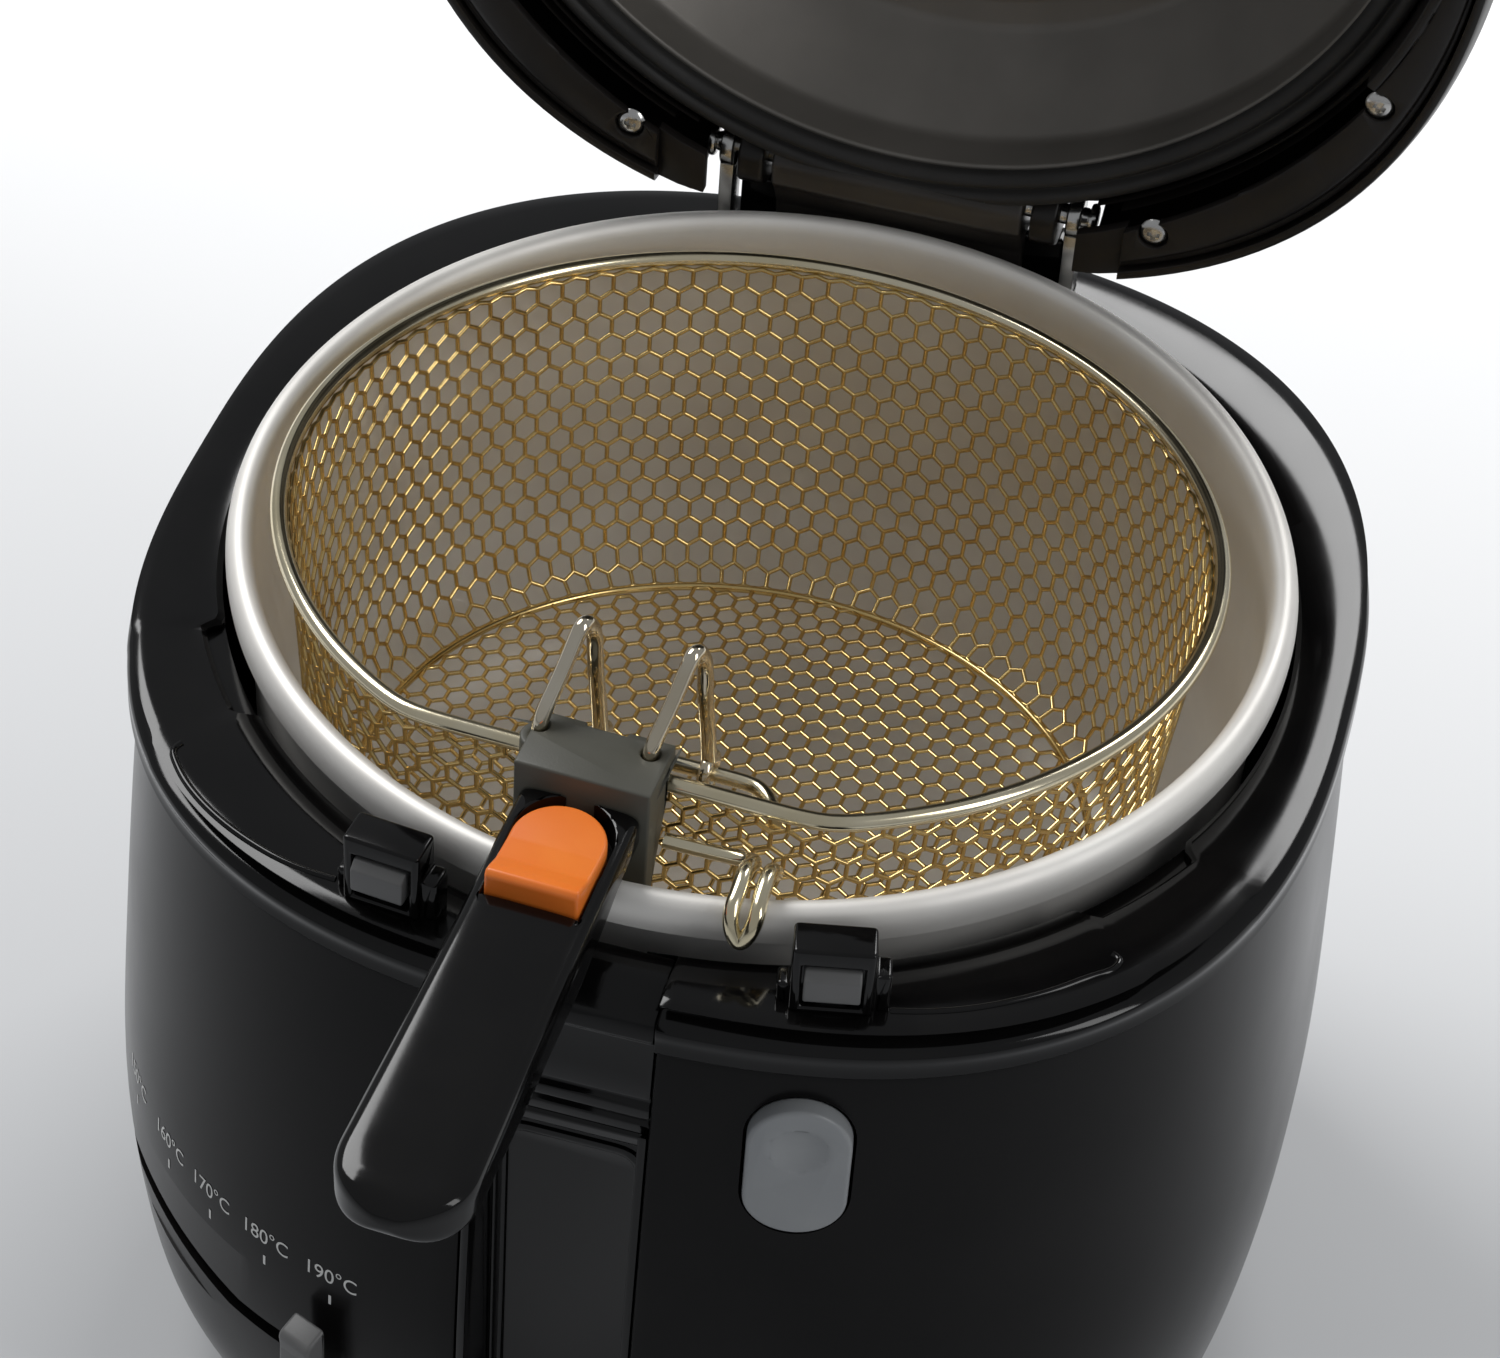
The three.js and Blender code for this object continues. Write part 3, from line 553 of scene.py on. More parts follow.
# Body.
bodyLook = {
    "side": [
        (133, -19), (136.3, -60), (139, -100), (140.5, -140), (138.5, -170), (135, -190), (128, -205),
        (117, -215), (106, -219),
    ],
    "roundness": 2.5, "depthRatio": 1.011, "wall": 3, "steps": 216, "levels": 64, "edge": 0.9,
}
channel = {"left": -24.5, "right": 15.5, "back": -120, "floor": -193, "gap": 0.3}
release = {
    "at": (46.7, -132.6, -46.5), "turn": 12, "width": 22, "height": 38, "gap": 0.75,
    "ball": 15.0, "ballAt": (0, -15.9, 7.2), "finger": ((-4, 1, -16), (4, 9, -10)),
}
slider = {
    "angle": -113.0, "sweep": 32, "rise": -151, "half": 2.6, "knob": (150.7, 157.0, -7, 19),
    "track": (149.9, -8.5, 20.5), "outer": 165,
}
posts = {"left": {"at": (-45.4, -123.7, -5), "turn": -6}, "right": {"at": (48.1, -122.3, -5), "turn": 13}}


def planReach(half, angle):  # rounded-square plan of body and lid
    n, across, along = bodyLook["roundness"], abs(
        math.cos(angle)
    ), abs(math.sin(angle)) / bodyLook["depthRatio"]
    return half * (across**n + along**n) ** (-1 / n)


def bodyAngles(steps):  # leaves out the steps too close to the channel's cut edges
    out, left, right = [], channel["left"], channel["right"]
    for k in range(steps):
        a = 2 * math.pi * (k + 0.5) / steps - math.pi
        x = 139 * math.cos(a)
        near = left - 2.6 < x < left + 1.5 or right - 1.5 < x < right + 2.6
        if math.sin(a) >= 0 or not near:
            out.append(a)
    return out


def channelBlock():
    return block((channel["left"], -170, channel["floor"]), (channel["right"], channel["back"], 20))


releasePlace = Matrix.Translation(release["at"]) @ turnZ(release["turn"])


def bodyShell():
    outside = smoothLine(bodyLook["side"], bodyLook["levels"])
    inside = [(r - bodyLook["wall"], z) for r, z in outside[::2][::-1]]
    profile = [*map(tuple, outside), *inside]
    shape = turned(profile, reach=planReach, angles=bodyAngles(bodyLook["steps"]))
    shell = rawObject("bodyShell", shape, rimPlace)
    low, high = slider["angle"] - slider["sweep"] - 3, slider["angle"] + 3
    gap = 2 * release["gap"]
    opening = pillOutline(release["width"] + gap, release["height"] + gap, 24)
    hole = moved(prism(opening, -14, 14, "Y"), releasePlace)
    rise, (inner, under, over), outer = slider["rise"], slider["track"], slider["outer"]
    slot = arcBand(125, outer, rise - slider["half"], rise + slider["half"], low, high)
    track = arcBand(inner, outer, rise + under, rise + over, low - 1, high + 1)
    drill = turned([(0, -20), (9, -20), (9, 20), (0, 20)], 36, False)
    cord = moved(drill, Matrix.Translation((70, 118, -180)) @ turnX(90))
    carved(shell, rimPlace, [channelBlock(), cord])
    softened(shell, bodyLook["edge"], 3, 44, 0.12)
    carved(shell, rimPlace, [hole, track])
    carved(shell, rimPlace, [slot])
    placed(shell, "fryer_body", "bodyBlack", ["body_shell"], 30)


bodyShell()
print("body made")

collarLook = {
    "hole": 120.3, "edge": 0.5,
    "top": [
        (0, 131.5, -7.4), (0.05, 131.5, -6.5), (0.35, 131.5, -5.6), (0.8, 131.5, -5.5), (1, 132.0, -7.4),
        (1, 134.0, -11.2), (1, 135.0, -15.2), (1, 135.3, -18.2),
    ],
    "under": [(1, 134.9, -19.0), (1, 133.6, -19.0), (1, 131.4, -13.5), (0.7, 131, -10.6), (0, 131, -10.2)],
    "notches": [-34.3, -145.6], "notchHalf": 7.2, "notchDeep": 4.6, "ledge": 0.85, "ledgeHeight": -5.75,
}


def collarHole(angle):  # inner edge of the collar, stepped back at two notches
    away = min(abs((math.degrees(angle) - middle + 180) % 360 - 180) for middle in collarLook["notches"])
    half = collarLook["notchHalf"]
    return collarLook["hole"] + collarLook["notchDeep"] * float(
        np.interp(away, [half - 0.7, half + 0.3], [1, 0])
    )


# A ring from rows of (share, half, height), each between an inner edge and the body's plan.
def mixedRing(rows, hole, angles):
    points = []
    for share, half, height in rows:
        for a in angles:
            r = (1 - share) * hole(a) + share * planReach(half, a)
            points.append((r * math.cos(a), r * math.sin(a), height))
    return points, gridFaces(len(rows), len(angles), True)


def collar():
    rows = [*curvedProfile(collarLook["top"], 26), *collarLook["under"]]
    ring = rawObject("collar", mixedRing(rows, collarHole, bodyAngles(432)), rimPlace)
    carved(ring, rimPlace, [channelBlock()])
    placed(softened(ring, collarLook["edge"], 2, 58, 0.02), "fryer_body", "glossBlack", ["collar"], 32)
    floors = [
        arcBand(120.5, 126.5, -10.1, -9.0, middle - 9, middle + 9) for middle in collarLook["notches"]
    ]
    placed(rawObject("collarNotchFloor", merged(*floors), rimPlace), "fryer_body", "glossBlack")
    ledges = [
        [
            (-57.2, -122.8), (-66, -121.9), (-74, -119.6), (-83, -115.6), (-91, -110.6), (-97, -105.4),
            (-101, -100.6), (-102.4, -97.4), (-101.6, -95.4),
        ],
        [
            (60.5, -121.6), (68, -119.2), (76, -115.6), (84, -110.6), (92, -104.2), (98, -98.6),
            (101.4, -95), (101.6, -92.8), (100, -91.8),
        ],
    ]
    for side, path in zip(("Left", "Right"), ledges):
        line = smoothLine([(x, y, collarLook["ledgeHeight"]) for x, y in path], 60)
        rib = rawObject("collarLedge" + side, tube(line, collarLook["ledge"], 10), rimPlace)
        placed(rib, "fryer_body", "glossBlack")


def channelLiner():
    left, right = channel["left"] + channel["gap"], channel["right"] - channel["gap"]
    front = [
        (-120.6, -6.9, 0), (-127, -7.6, 6), (-133.4, -11.5, 6), (-136.2, -18.5, 8), (-136.4, -34.5, 1.2),
        (-133.6, -35.6, 0.8), (-133.8, -37.2, 0.8), (-135.2, -38.2, 1), (-135.0, -41.4, 1.2),
        (-132.2, -42.4, 0.8), (-132.2, -44.0, 0.8),
        (-133.6, -45.0, 1), (-133.2, -48.4, 1.2), (-130.2, -49.4, 0.8), (-130.2, -51.0, 0.8),
        (-131.2, -52.2, 1.2), (-130.4, -55.6, 2),
        (-122.4, -62.5, 5), (-122, -75, 0), (-122, -191, 0),
    ]
    back = [
        (-119.9, -191, 0), (-119.9, -61, 4), (-128, -54, 3), (-130.8, -30, 4), (-130.8, -20, 4),
        (-128.6, -13.4, 4), (-120.6, -9.4, 0),
    ]
    curtain = rawObject("channelLiner", prism(roundedOutline(front + back, 5), left, right, "X"), rimPlace)
    cheek = roundedOutline(
        [(-120, -60, 1), (-128.6, -52, 2), (-150, -34, 0), (-150, -192, 0), (-120, -192, 0)]
    )
    parts = [
        prism(cheek, left, left + 2, "X"), prism(cheek, right - 2, right, "X"),
        block((left, -150, -192.6), (right, -121, -190.6)),
    ]
    # Raised frame round the panel at the back of the recess.
    frameOut = roundedOutline(
        [(left + 3.2, -191, 0), (left + 3.2, -66, 7), (right - 3.2, -66, 7), (right - 3.2, -191, 0)], 6
    )
    parts.append(prism(frameOut, -123.4, -121, "Y"))
    carved(curtain, rimPlace, parts, "UNION")
    frameIn = roundedOutline(
        [(left + 5.4, -200, 0), (left + 5.4, -68.4, 5), (right - 5.4, -68.4, 5), (right - 5.4, -200, 0)], 6
    )
    carved(curtain, rimPlace, [prism(frameIn, -126, -122.3, "Y")])
    side = [(r - 0.4, z) for r, z in smoothLine(bodyLook["side"], 24)]
    shape = [
        (0, -222), (side[-1][0], -222), *side[::-1], (134.6, -16.5), (133, -11), (130, -7.4), (126, -6.6),
        (0, -6.6),
    ]
    carved(curtain, rimPlace, [turned(shape, 120, False, planReach)], "INTERSECT")
    placed(softened(curtain, 0.5, 2, 40, 0.08), "fryer_body", "glossBlack", ["channel_liner"], 34)


collar()
channelLiner()
print("collar and channel made")

# Bowl.
bowlLook = {
    "floor": -126.4,
    "inside": [
        (60, -126.4), (92, -126.2), (102, -123), (108.5, -116), (110.6, -108), (111.6, -60), (112.3, -20),
        (112.7, -6), (112.9, -1),
    ],
    "rim": [
        (112.9, -1), (113.0, 2.0), (113.5, 4.3), (114.7, 5.7), (116.2, 6.0), (117.9, 5.2), (119.1, 3.2),
        (119.5, 0.6), (119.3, -2.2),
    ],
    "outside": [
        (118.2, -2.5), (117.9, 0.6), (116.3, 3.2), (114.8, 2.2), (114.4, -4), (114.1, -20), (113.4, -60),
        (112.4, -109), (110, -118), (103, -125.6), (92, -128), (0, -128),
    ],
}


def bowl():
    inside, rim = curvedProfile(bowlLook["inside"], 40), curvedProfile(bowlLook["rim"], 20)[1:]
    profile = [(0, bowlLook["floor"]), (30, bowlLook["floor"]), *inside, *rim, *bowlLook["outside"]]
    piece = rawObject("bowl", turned(profile, 224, False), rimPlace)
    placed(piece, "fryer_body", "bowlMetal", ["bowl"], 50)


bowl()

# Latch posts and tongues.
postLook = {"width": 17, "depth": 8.5, "height": 17, "edge": 0.75}


def latchPost(side, spec):
    place = rimPlace @ Matrix.Translation(spec["at"]) @ turnZ(spec["turn"])
    half, face = postLook["width"] / 2, postLook["depth"] / 2
    plan = roundedOutline(
        [(x, y, 1.2) for x, y in ((-half, -face), (half, -face), (half, face), (-half, face))], 4
    )
    post = rawObject("latchPost" + side.title(), prism(plan, -0.6, postLook["height"]), place)
    tall = [(half - 1, -2.6, 0), (half + 3.4, -2.6, 1.2), (half + 3.4, 3.6, 1.2), (half - 1, 3.6, 0)]
    short = [(-half - 2.6, -1.6, 1.2), (-half + 1, -1.6, 0), (-half + 1, 3.6, 0), (-half - 2.6, 3.6, 1.2)]
    flanges = [prism(roundedOutline(tall), -0.8, 9.5), prism(roundedOutline(short), -0.8, 4.5)]
    carved(post, place, flanges, "UNION")
    shaft, window = block(
        (-6.4, -2.2, -3), (6.4, 2.2, postLook["height"] - 2.6)
    ), block((-6.3, -face - 1, 0.8), (6.3, 0, 12.5))
    carved(post, place, [shaft, window])
    placed(softened(post, postLook["edge"], 3, 40), "fryer_body", "glossBlack", ["latch_post_" + side], 36)
    tip = -face - 2
    nose = roundedOutline(
        [(tip, 4.4, 0.8), (-1.4, 4.4, 0), (-1.4, 12, 0), (-face - 0.2, 12, 1.0), (tip, 10.4, 1.0)]
    )
    tongue = rawObject("latchTongue" + side.title(), prism(nose, -5.8, 5.8, "X"), place)
    carved(tongue, place, [block((-3, -1.6, -22.5), (3, 1.5, 11))], "UNION")
    placed(softened(tongue, 0.45, 3, 40), "latch", "greySatin", ["latch_tongue_" + side], 36)


for sideName, spec in posts.items():
    latchPost(sideName, spec)

springLook = {"turns": 8, "radius": 2.35, "wire": 0.5}


def latchSpring():  # coil with closed ends
    low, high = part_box("latch_spring")
    turns, r, wire = springLook["turns"], springLook["radius"], springLook["wire"]
    tall = (high.z - low.z) * 1000 - 2 * wire
    line = []
    for k in range(turns * 24 + 1):
        a = 2 * math.pi * k / 24
        share = np.interp(k / 24, [0, 1, turns - 1, turns], [0, 0.055, 0.945, 1])
        line.append((r * math.cos(a), r * math.sin(a), wire + tall * share))
    foot = Vector(((low.x + high.x) / 2, (low.y + high.y) / 2, low.z))
    coil = rawObject("latchSpring", tube(line, wire, 10), Matrix.Translation(foot) @ toMetres)
    placed(coil, "fryer_body", "steel", ["latch_spring"], 60)
    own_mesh(coil)


latchSpring()


# Release button.
def releaseButton():
    cap = prism(pillOutline(release["width"], release["height"], 28), -2.4, 2.6, "Y")
    button = rawObject("releaseButton", moved(cap, releasePlace), rimPlace)
    r = release["ball"]
    ball = [(0, -r)] + [(r * math.cos(t), r * math.sin(t)) for t in np.linspace(-1.5, 1.5, 40)] + [(0, r)]
    spot = releasePlace @ Matrix.Translation(release["ballAt"])
    carved(button, rimPlace, [moved(turned(ball, 64, False), spot)])
    softened(button, 1.0, 4, 24)
    carved(button, rimPlace, [moved(block(*release["finger"]), releasePlace)], "UNION")
    placed(button, "release", "paleGrey", ["release_button"], 32)


releaseButton()
print("latches and release made")

# Temperature slider and its scale.
scaleLook = {
    "numbers": [(150, -141), (160, -133), (170, -126.2), (180, -119.2), (190, -112)], "rise": -120.5,
    "size": 6.2, "narrow": 0.88, "tick": (0.7, 3.0), "tickRise": -127.5, "lift": 0.09,
}
sideLine = smoothLine(bodyLook["side"], 400)


def bodyHalf(rise):  # half-width of the body between its listed points
    line = sorted((z, r) for r, z in bodyLook["side"])
    return float(np.interp(rise, [z for z, _ in line], [r for _, r in line]))


def bodyLine(rise):  # half-width of the smooth body at a height
    return float(np.interp(rise, sideLine[::-1, 1], sideLine[::-1, 0]))


def onBody(u, rise, angle):  # u millimetres along the wall from an angle, at a height
    middle = math.radians(angle)
    a = middle + u / planReach(bodyHalf(rise), middle)
    r = planReach(bodyLine(rise), a) + scaleLook["lift"]
    return (r * math.cos(a), r * math.sin(a), rise)


def scalePrint():
    shapes = []
    for number, angle in scaleLook["numbers"]:
        text = bpy.data.curves.new("number", "FONT")
        text.body, text.size, text.align_x = str(number) + "°C", scaleLook["size"], "CENTER"
        holder = linked("number", text)
        mesh = bpy.data.meshes.new_from_object(holder.evaluated_get(bpy.context.evaluated_depsgraph_get()))
        points = [
            onBody(v.co.x * scaleLook["narrow"], scaleLook["rise"] + v.co.y, angle) for v in mesh.vertices
        ]
        shapes.append((points, [tuple(p.vertices) for p in mesh.polygons]))
        bpy.data.objects.remove(holder)
        wide, tall = scaleLook["tick"]
        corners = [(-wide / 2, 0), (wide / 2, 0), (wide / 2, tall), (-wide / 2, tall)]
        shapes.append(([onBody(u, scaleLook["tickRise"] + v, angle) for u, v in corners], [(0, 1, 2, 3)]))
    points, faces = merged(*shapes)
    sheet = plainObject("scalePrint", [tuple(rimPlace @ Vector(p)) for p in points], faces=faces)
    bm = bmesh.new()
    bm.from_mesh(sheet.data)
    for face in bm.faces:  # every face looks away from the bowl axis
        middle = face.calc_center_median() - bowlAxis
        if face.normal.dot(Vector((middle.x, middle.y, 0))) < 0:
            face.normal_flip()
    bm.to_mesh(sheet.data)
    bm.free()
    placed(sheet, "fryer_body", "printWhite")


def sliderKnob():
    inner, outer, low, high = slider["knob"]
    place = rimPlace @ turnZ(slider["angle"]) @ Matrix.Translation((0, 0, slider["rise"]))
    outline = roundedOutline(
        [
            (inner, low, 0.6), (outer - 0.8, low + 0.6, 2.2), (outer, 2, 2), (outer - 0.5, 12, 2),
            (outer, high - 2.2, 2.4), (inner, high, 0.6),
        ],
        5,
    )
    knob = rawObject("sliderKnob", prism(outline, -4.5, 4.5, "Y"), place)
    placed(softened(knob, 1.0, 4, 40), "temperature", "greySatin", ["slider_knob"], 34)


scalePrint()
sliderKnob()
print("slider and scale made")

# Hinge.
hingeLook = {
    "half": 31, "pin": 2.5, "armX": 43, "armHalf": 1.7, "earX": 36.3, "earHalf": 3.2, "baseHalf": 40.6
}


def crossRod(radius, low, high, steps=48, edge=0.8):  # a round bar along X with softened ends
    profile = [
        (0, low), (radius - edge, low), (radius - edge * 0.3, low + edge * 0.3), (radius, low + edge),
        (radius, high - edge), (radius - edge * 0.3, high - edge * 0.3), (radius - edge, high), (0, high),
    ]
    return moved(turned(profile, steps, False), Matrix.Rotation(math.radians(90), 4, "Y"))


def hinge():
    place = rimPlace @ Matrix.Translation(hingePoint)
    half, wide = hingeLook["half"], hingeLook["baseHalf"]
    saddle = roundedOutline(
        [
            (-7.4, -3.9, 3), (-8.3, 1.6, 4), (-4.4, 7.8, 4), (4.4, 8.0, 4), (8.6, 2, 4), (9.2, -12, 3),
            (8, -21.9, 0), (0.8, -21.9, 0), (-0.6, -14, 4), (-4.4, -7.2, 3),
        ],
        6,
    )
    barrel = rawObject("hingeBarrel", prism(saddle, -half, half, "X"), place)
    # The barrel's lighter satin black is painted light where the lid shades it.
    placed(softened(barrel, 0.9, 4, 34), "fryer_body", "barrelSatinPaintedLight", ["hinge_barrel"], 32)
    footing = roundedOutline([(2.5, -22.2, 0), (9.6, -22.2, 0), (9.6, -10.4, 2), (2.5, -10.4, 1)], 5)
    base = rawObject("hingeBase", prism(footing, -wide, wide, "X"), place)
    placed(softened(base, 0.8, 3, 34), "fryer_body", "glossBlack", (), 32)
    rods = [crossRod(hingeLook["pin"], -46.5, 46.5), crossRod(3.9, -48.3, -46.3), crossRod(3.9, 46.3, 48.3)]
    placed(rawObject("hingePin", merged(*rods), place), "fryer_body", "steel", ["hinge_pin"])
    leg = roundedOutline(
        [(-4, 0, 0), (-4, -20.5, 1), (-5.2, -21.9, 0), (5.2, -21.9, 0), (4, -20.5, 1), (4, 0, 0)]
    )
    for side, x in (("left", -hingeLook["armX"]), ("right", hingeLook["armX"])):
        low, high = x - hingeLook["armHalf"], x + hingeLook["armHalf"]
        shape = merged(crossRod(5.5, low, high, 40, 0.4), prism(leg, low, high, "X"))
        arm = rawObject("hingeArm" + side.title(), shape, place)
        placed(softened(arm, 0.3, 2, 40), "fryer_body", "steel", ["hinge_arm_" + side], 36)


hinge()

# Lid.
lidLook = {
    "outside": [
        (129.5, -2), (131, 4), (131, 16), (127, 28), (117, 38), (98, 47.5), (70, 54), (38, 57.8),
        (14, 58.9), (0, 59),
    ],
    "inside": [
        (0, 56.3), (38, 55), (69.5, 51.4), (96.4, 45.1), (114.8, 36), (124.3, 26.6), (128.3, 15.6),
        (128.4, 4), (127.2, -2),
    ],
    "screws": [(-64, 109.5), (64, 109.5), (110, 62), (-110, 62), (-110, -62), (110, -62)],
    "hinge": ((-57, 110, -10), (57, 150, 27.5)),
    "armsHigh": ((-48.5, 110, -10), (48.5, 150, 27.5)), "armsLow": ((-57, 110, -10), (57, 150, 3)),
    "barrel": ((-32.6, 116.4, -4), (32.6, 140, 26)), "arch": ((-29, -150, -10), (6.5, -98, 25.5)),
    "hook": ((5.5, -124.5, -3), (34.5, -102, 13.4)), "post": ((-12.6, -18, -2), (12.9, 6, 21.5)),
    "vents": 14, "ventAt": 49, "ventSize": (3.2, 14),
    "seam": [(62.4, 54.1), (63.6, 54.1), (63.6, 62), (62.4, 62)],
    "flat": 122.6, "swing": (100, 124.2, -4, 6.2, 28, 152, 96),
}


def lidRooms(*names):  # room that the lid leaves for the pieces it shuts over
    return [block(*lidLook[name]) for name in names]


def postRooms():
    room = block(*lidLook["post"])
    return [moved(room, Matrix.Translation(spec["at"]) @ turnZ(spec["turn"])) for spec in posts.values()]


def lidShell():
    profile = curvedProfile(lidLook["inside"], 34) + curvedProfile(lidLook["outside"], 60)
    shell = rawObject("lidShell", turned(profile, 200, False, planReach), lidPlace)
    seam = turned(lidLook["seam"], 120)
    plan = [(y + lidLook["ventAt"], x) for x, y in pillOutline(*lidLook["ventSize"], 8)]
    vent = prism(plan[::-1], 48, 62)
    slots = [moved(vent, turnZ(k * 360 / lidLook["vents"])) for k in range(lidLook["vents"])]
    carved(shell, lidPlace, [*lidRooms("armsHigh", "arch"), *postRooms()])
    softened(shell, 0.6, 2, 42, 0.12)
    carved(shell, lidPlace, [*lidRooms("armsLow"), seam, *slots])
    placed(shell, "lid", "satinBlack", ["lid_shell"], 32)
    outline = roundedOutline(
        [(-8.5, -3.4, 5), (-3, -8.6, 5), (4, -8.4, 5), (8.5, -2, 5), (8.5, 13.5, 1), (-8.4, 13.5, 1)], 7
    )
    half, ears = hingeLook["earHalf"], []
    for x in (-hingeLook["earX"], hingeLook["earX"]):
        ears.append(moved(prism(outline, x - half, x + half, "X"), Matrix.Translation(hingePoint)))
    pair = rawObject("lidEars", merged(*ears), lidPlace)
    placed(softened(pair, 0.9, 3, 34), "lid", "satinBlack", (), 32)


def lidLiner():
    rows = [
        (0, 126.6, -0.6), (0.05, 126.6, -1.3), (0.12, 126.6, -1.5), (0.75, 126.6, -1.5),
        (0.86, 126.6, -1.2), (0.9, 126.6, -0.2), (1, 126.9, -0.2), (1, 126.9, 1), (0.4, 126.6, 1),
        (0, 127, 1),
    ]
    ring = mixedRing(rows, lambda angle: lidLook["flat"], np.linspace(0, 2 * math.pi, 200, endpoint=False))
    flat = rawObject("lidLiner", ring, lidPlace)
    recess = turned([(0, -6), (3.6, -6), (3.6, 4), (0, 4)], 31, False)
    recesses = [moved(recess, Matrix.Translation((x, y, 0)) @ turnZ(7)) for x, y in lidLook["screws"]]
    carvedEach(flat, lidPlace, recesses)
    wall = turned(
        [(120.4, -1.2), (120.8, -1.6), (122.5, -1.6), (122.9, -1.2), (122.9, 11), (120.4, 11)], 200
    )
    carved(flat, lidPlace, [wall], "UNION")
    carved(flat, lidPlace, [arcBand(*lidLook["swing"])])  # clears the bowl rim as the lid swings
    carvedEach(flat, lidPlace, [*lidRooms("hinge", "arch", "hook"), *postRooms()])
    placed(softened(flat, 0.4, 2, 42, 0.1), "lid", "linerBlack", ["lid_liner"], 34)
    # Two plates close the liner beside the hinge arms.
    plan = [(45.6, 116), (52, 113.4), (57.4, 110.6), (57.4, 124.4), (52, 126), (45.6, 127)]
    plates = [prism([(x * sign, y) for x, y in plan][::sign], 1.6, 4.6) for sign in (-1, 1)]
    cheeks = rawObject("lidCheeks", merged(*plates), lidPlace)
    placed(softened(cheeks, 0.3, 2, 40), "lid", "linerBlack", (), 34)
    low, high = lidLook["arch"]
    frameWall = block((low[0] - 1.8, -123.4, -1.5), (high[0] + 1.8, -120.8, high[2] + 1.4))
    band = rawObject("lidArch", frameWall, lidPlace)
    carved(band, lidPlace, lidRooms("arch"))
    placed(softened(band, 0.5, 2), "lid", "linerBlack")


def barrelRoom():
    return moved(crossRod(9.5, -32.2, 32.2), Matrix.Translation(hingePoint))


def lidSeal():
    lip = [
        (111.3, 10.5), (111.3, 8.6), (112.2, 7.2), (113.4, 6.6), (114.6, 7.4), (115.4, 8.6), (116.2, 7.6),
        (117.2, 6.6), (118.6, 6.7), (119.6, 7.8), (119.8, 10.5),
    ]
    ring = rawObject("lidSeal", turned(curvedProfile(lip, 30), 200), lidPlace)
    carvedEach(ring, lidPlace, [*lidRooms("arch", "hook", "barrel"), barrelRoom()])
    placed(softened(ring, 0.2, 2, 46, 0.08), "lid", "rubberBlack", ["lid_seal"], 36)


def lidInnerPlate():
    outline = [
        (60.3, 44.4, 0), (86, 44.4, 4), (92.6, 43.0, 5), (110.8, 22, 5), (110.8, 11.2, 1.2), (119, 11.2, 0),
        (119, 12.2, 0),
        (111.9, 12.2, 1), (111.9, 22.6, 5), (93.4, 44.2, 5), (86.6, 45.6, 4), (60.3, 45.6, 0),
    ]
    plate = rawObject("lidInnerPlate", turned(roundedOutline(outline, 6), 200), lidPlace)
    carvedEach(plate, lidPlace, [*lidRooms("arch", "hook", "barrel"), barrelRoom()])
    placed(softened(plate, 0.15, 1, 50, 0.05), "lid", "platePaint", ["lid_inner_plate"], 34)


filterLook = {
    "radius": 60, "open": 54, "pitch": 3.6, "hole": 1.05, "height": 43.2, "thick": 0.9, "top": 44.7,
    "ribs": (18, 90, 162, 234, 306), "pad": [(0, 46.6, 0), (48, 46.6, 1.5), (48, 51, 1.5), (0, 51, 0)],
}


def netTree():  # lays one pierced tile on every point of a square grid inside a circle
    tree, sockets, start, end = newTree(
        "pierced",
        [
            ("Tile", "NodeSocketObject"), ("Radius", "NodeSocketFloat"), ("Pitch", "NodeSocketFloat"),
            ("Material", "NodeSocketMaterial"),
        ],
    )
    make = tree.nodes.new
    grid, where, length, compare, delete, onPoints, info, real, weld, paint = (
        make(kind) for kind in (
            "GeometryNodeMeshGrid", "GeometryNodeInputPosition", "ShaderNodeVectorMath",
            "FunctionNodeCompare", "GeometryNodeDeleteGeometry", "GeometryNodeInstanceOnPoints",
            "GeometryNodeObjectInfo", "GeometryNodeRealizeInstances", "GeometryNodeMergeByDistance",
            "GeometryNodeSetMaterial",
        )
    )
    length.operation, compare.data_type, compare.operation = "LENGTH", "FLOAT", "GREATER_THAN"
    steps, size, double, whole = (make("ShaderNodeMath") for _ in range(4))
    for node, work in ((steps, "DIVIDE"), (double, "MULTIPLY_ADD"), (whole, "FLOOR"), (size, "MULTIPLY")):
        node.operation = work
    link = tree.links.new
    link(start.outputs["Radius"], steps.inputs[0])
    link(start.outputs["Pitch"], steps.inputs[1])
    link(steps.outputs[0], whole.inputs[0])
    link(whole.outputs[0], double.inputs[0])
    double.inputs[1].default_value, double.inputs[2].default_value = 2, 1
    count = make("ShaderNodeMath")
    count.operation = "SUBTRACT"
    link(double.outputs[0], count.inputs[0])
    count.inputs[1].default_value = 1
    link(count.outputs[0], size.inputs[0])
    link(start.outputs["Pitch"], size.inputs[1])
    for axis in ("X", "Y"):
        link(size.outputs[0], grid.inputs["Size " + axis])
        link(double.outputs[0], grid.inputs["Vertices " + axis])
    link(where.outputs[0], length.inputs[0])
    link(length.outputs["Value"], compare.inputs[0])
    link(start.outputs["Radius"], compare.inputs[1])
    link(compare.outputs[0], delete.inputs["Selection"])
    link(start.outputs["Tile"], info.inputs["Object"])
    link(info.outputs["Geometry"], onPoints.inputs["Instance"])
    link(start.outputs["Material"], paint.inputs["Material"])
    weld.inputs["Distance"].default_value = 0.00001
    last = chain(
        tree, grid.outputs["Mesh"], (delete, "Geometry", "Geometry"), (onPoints, "Points", "Instances"),
        (real, "Geometry", "Geometry"), (weld, "Geometry", "Geometry"), (paint, "Geometry", "Geometry"),
    )
    link(last, end.inputs["Geometry"])
    return tree, sockets


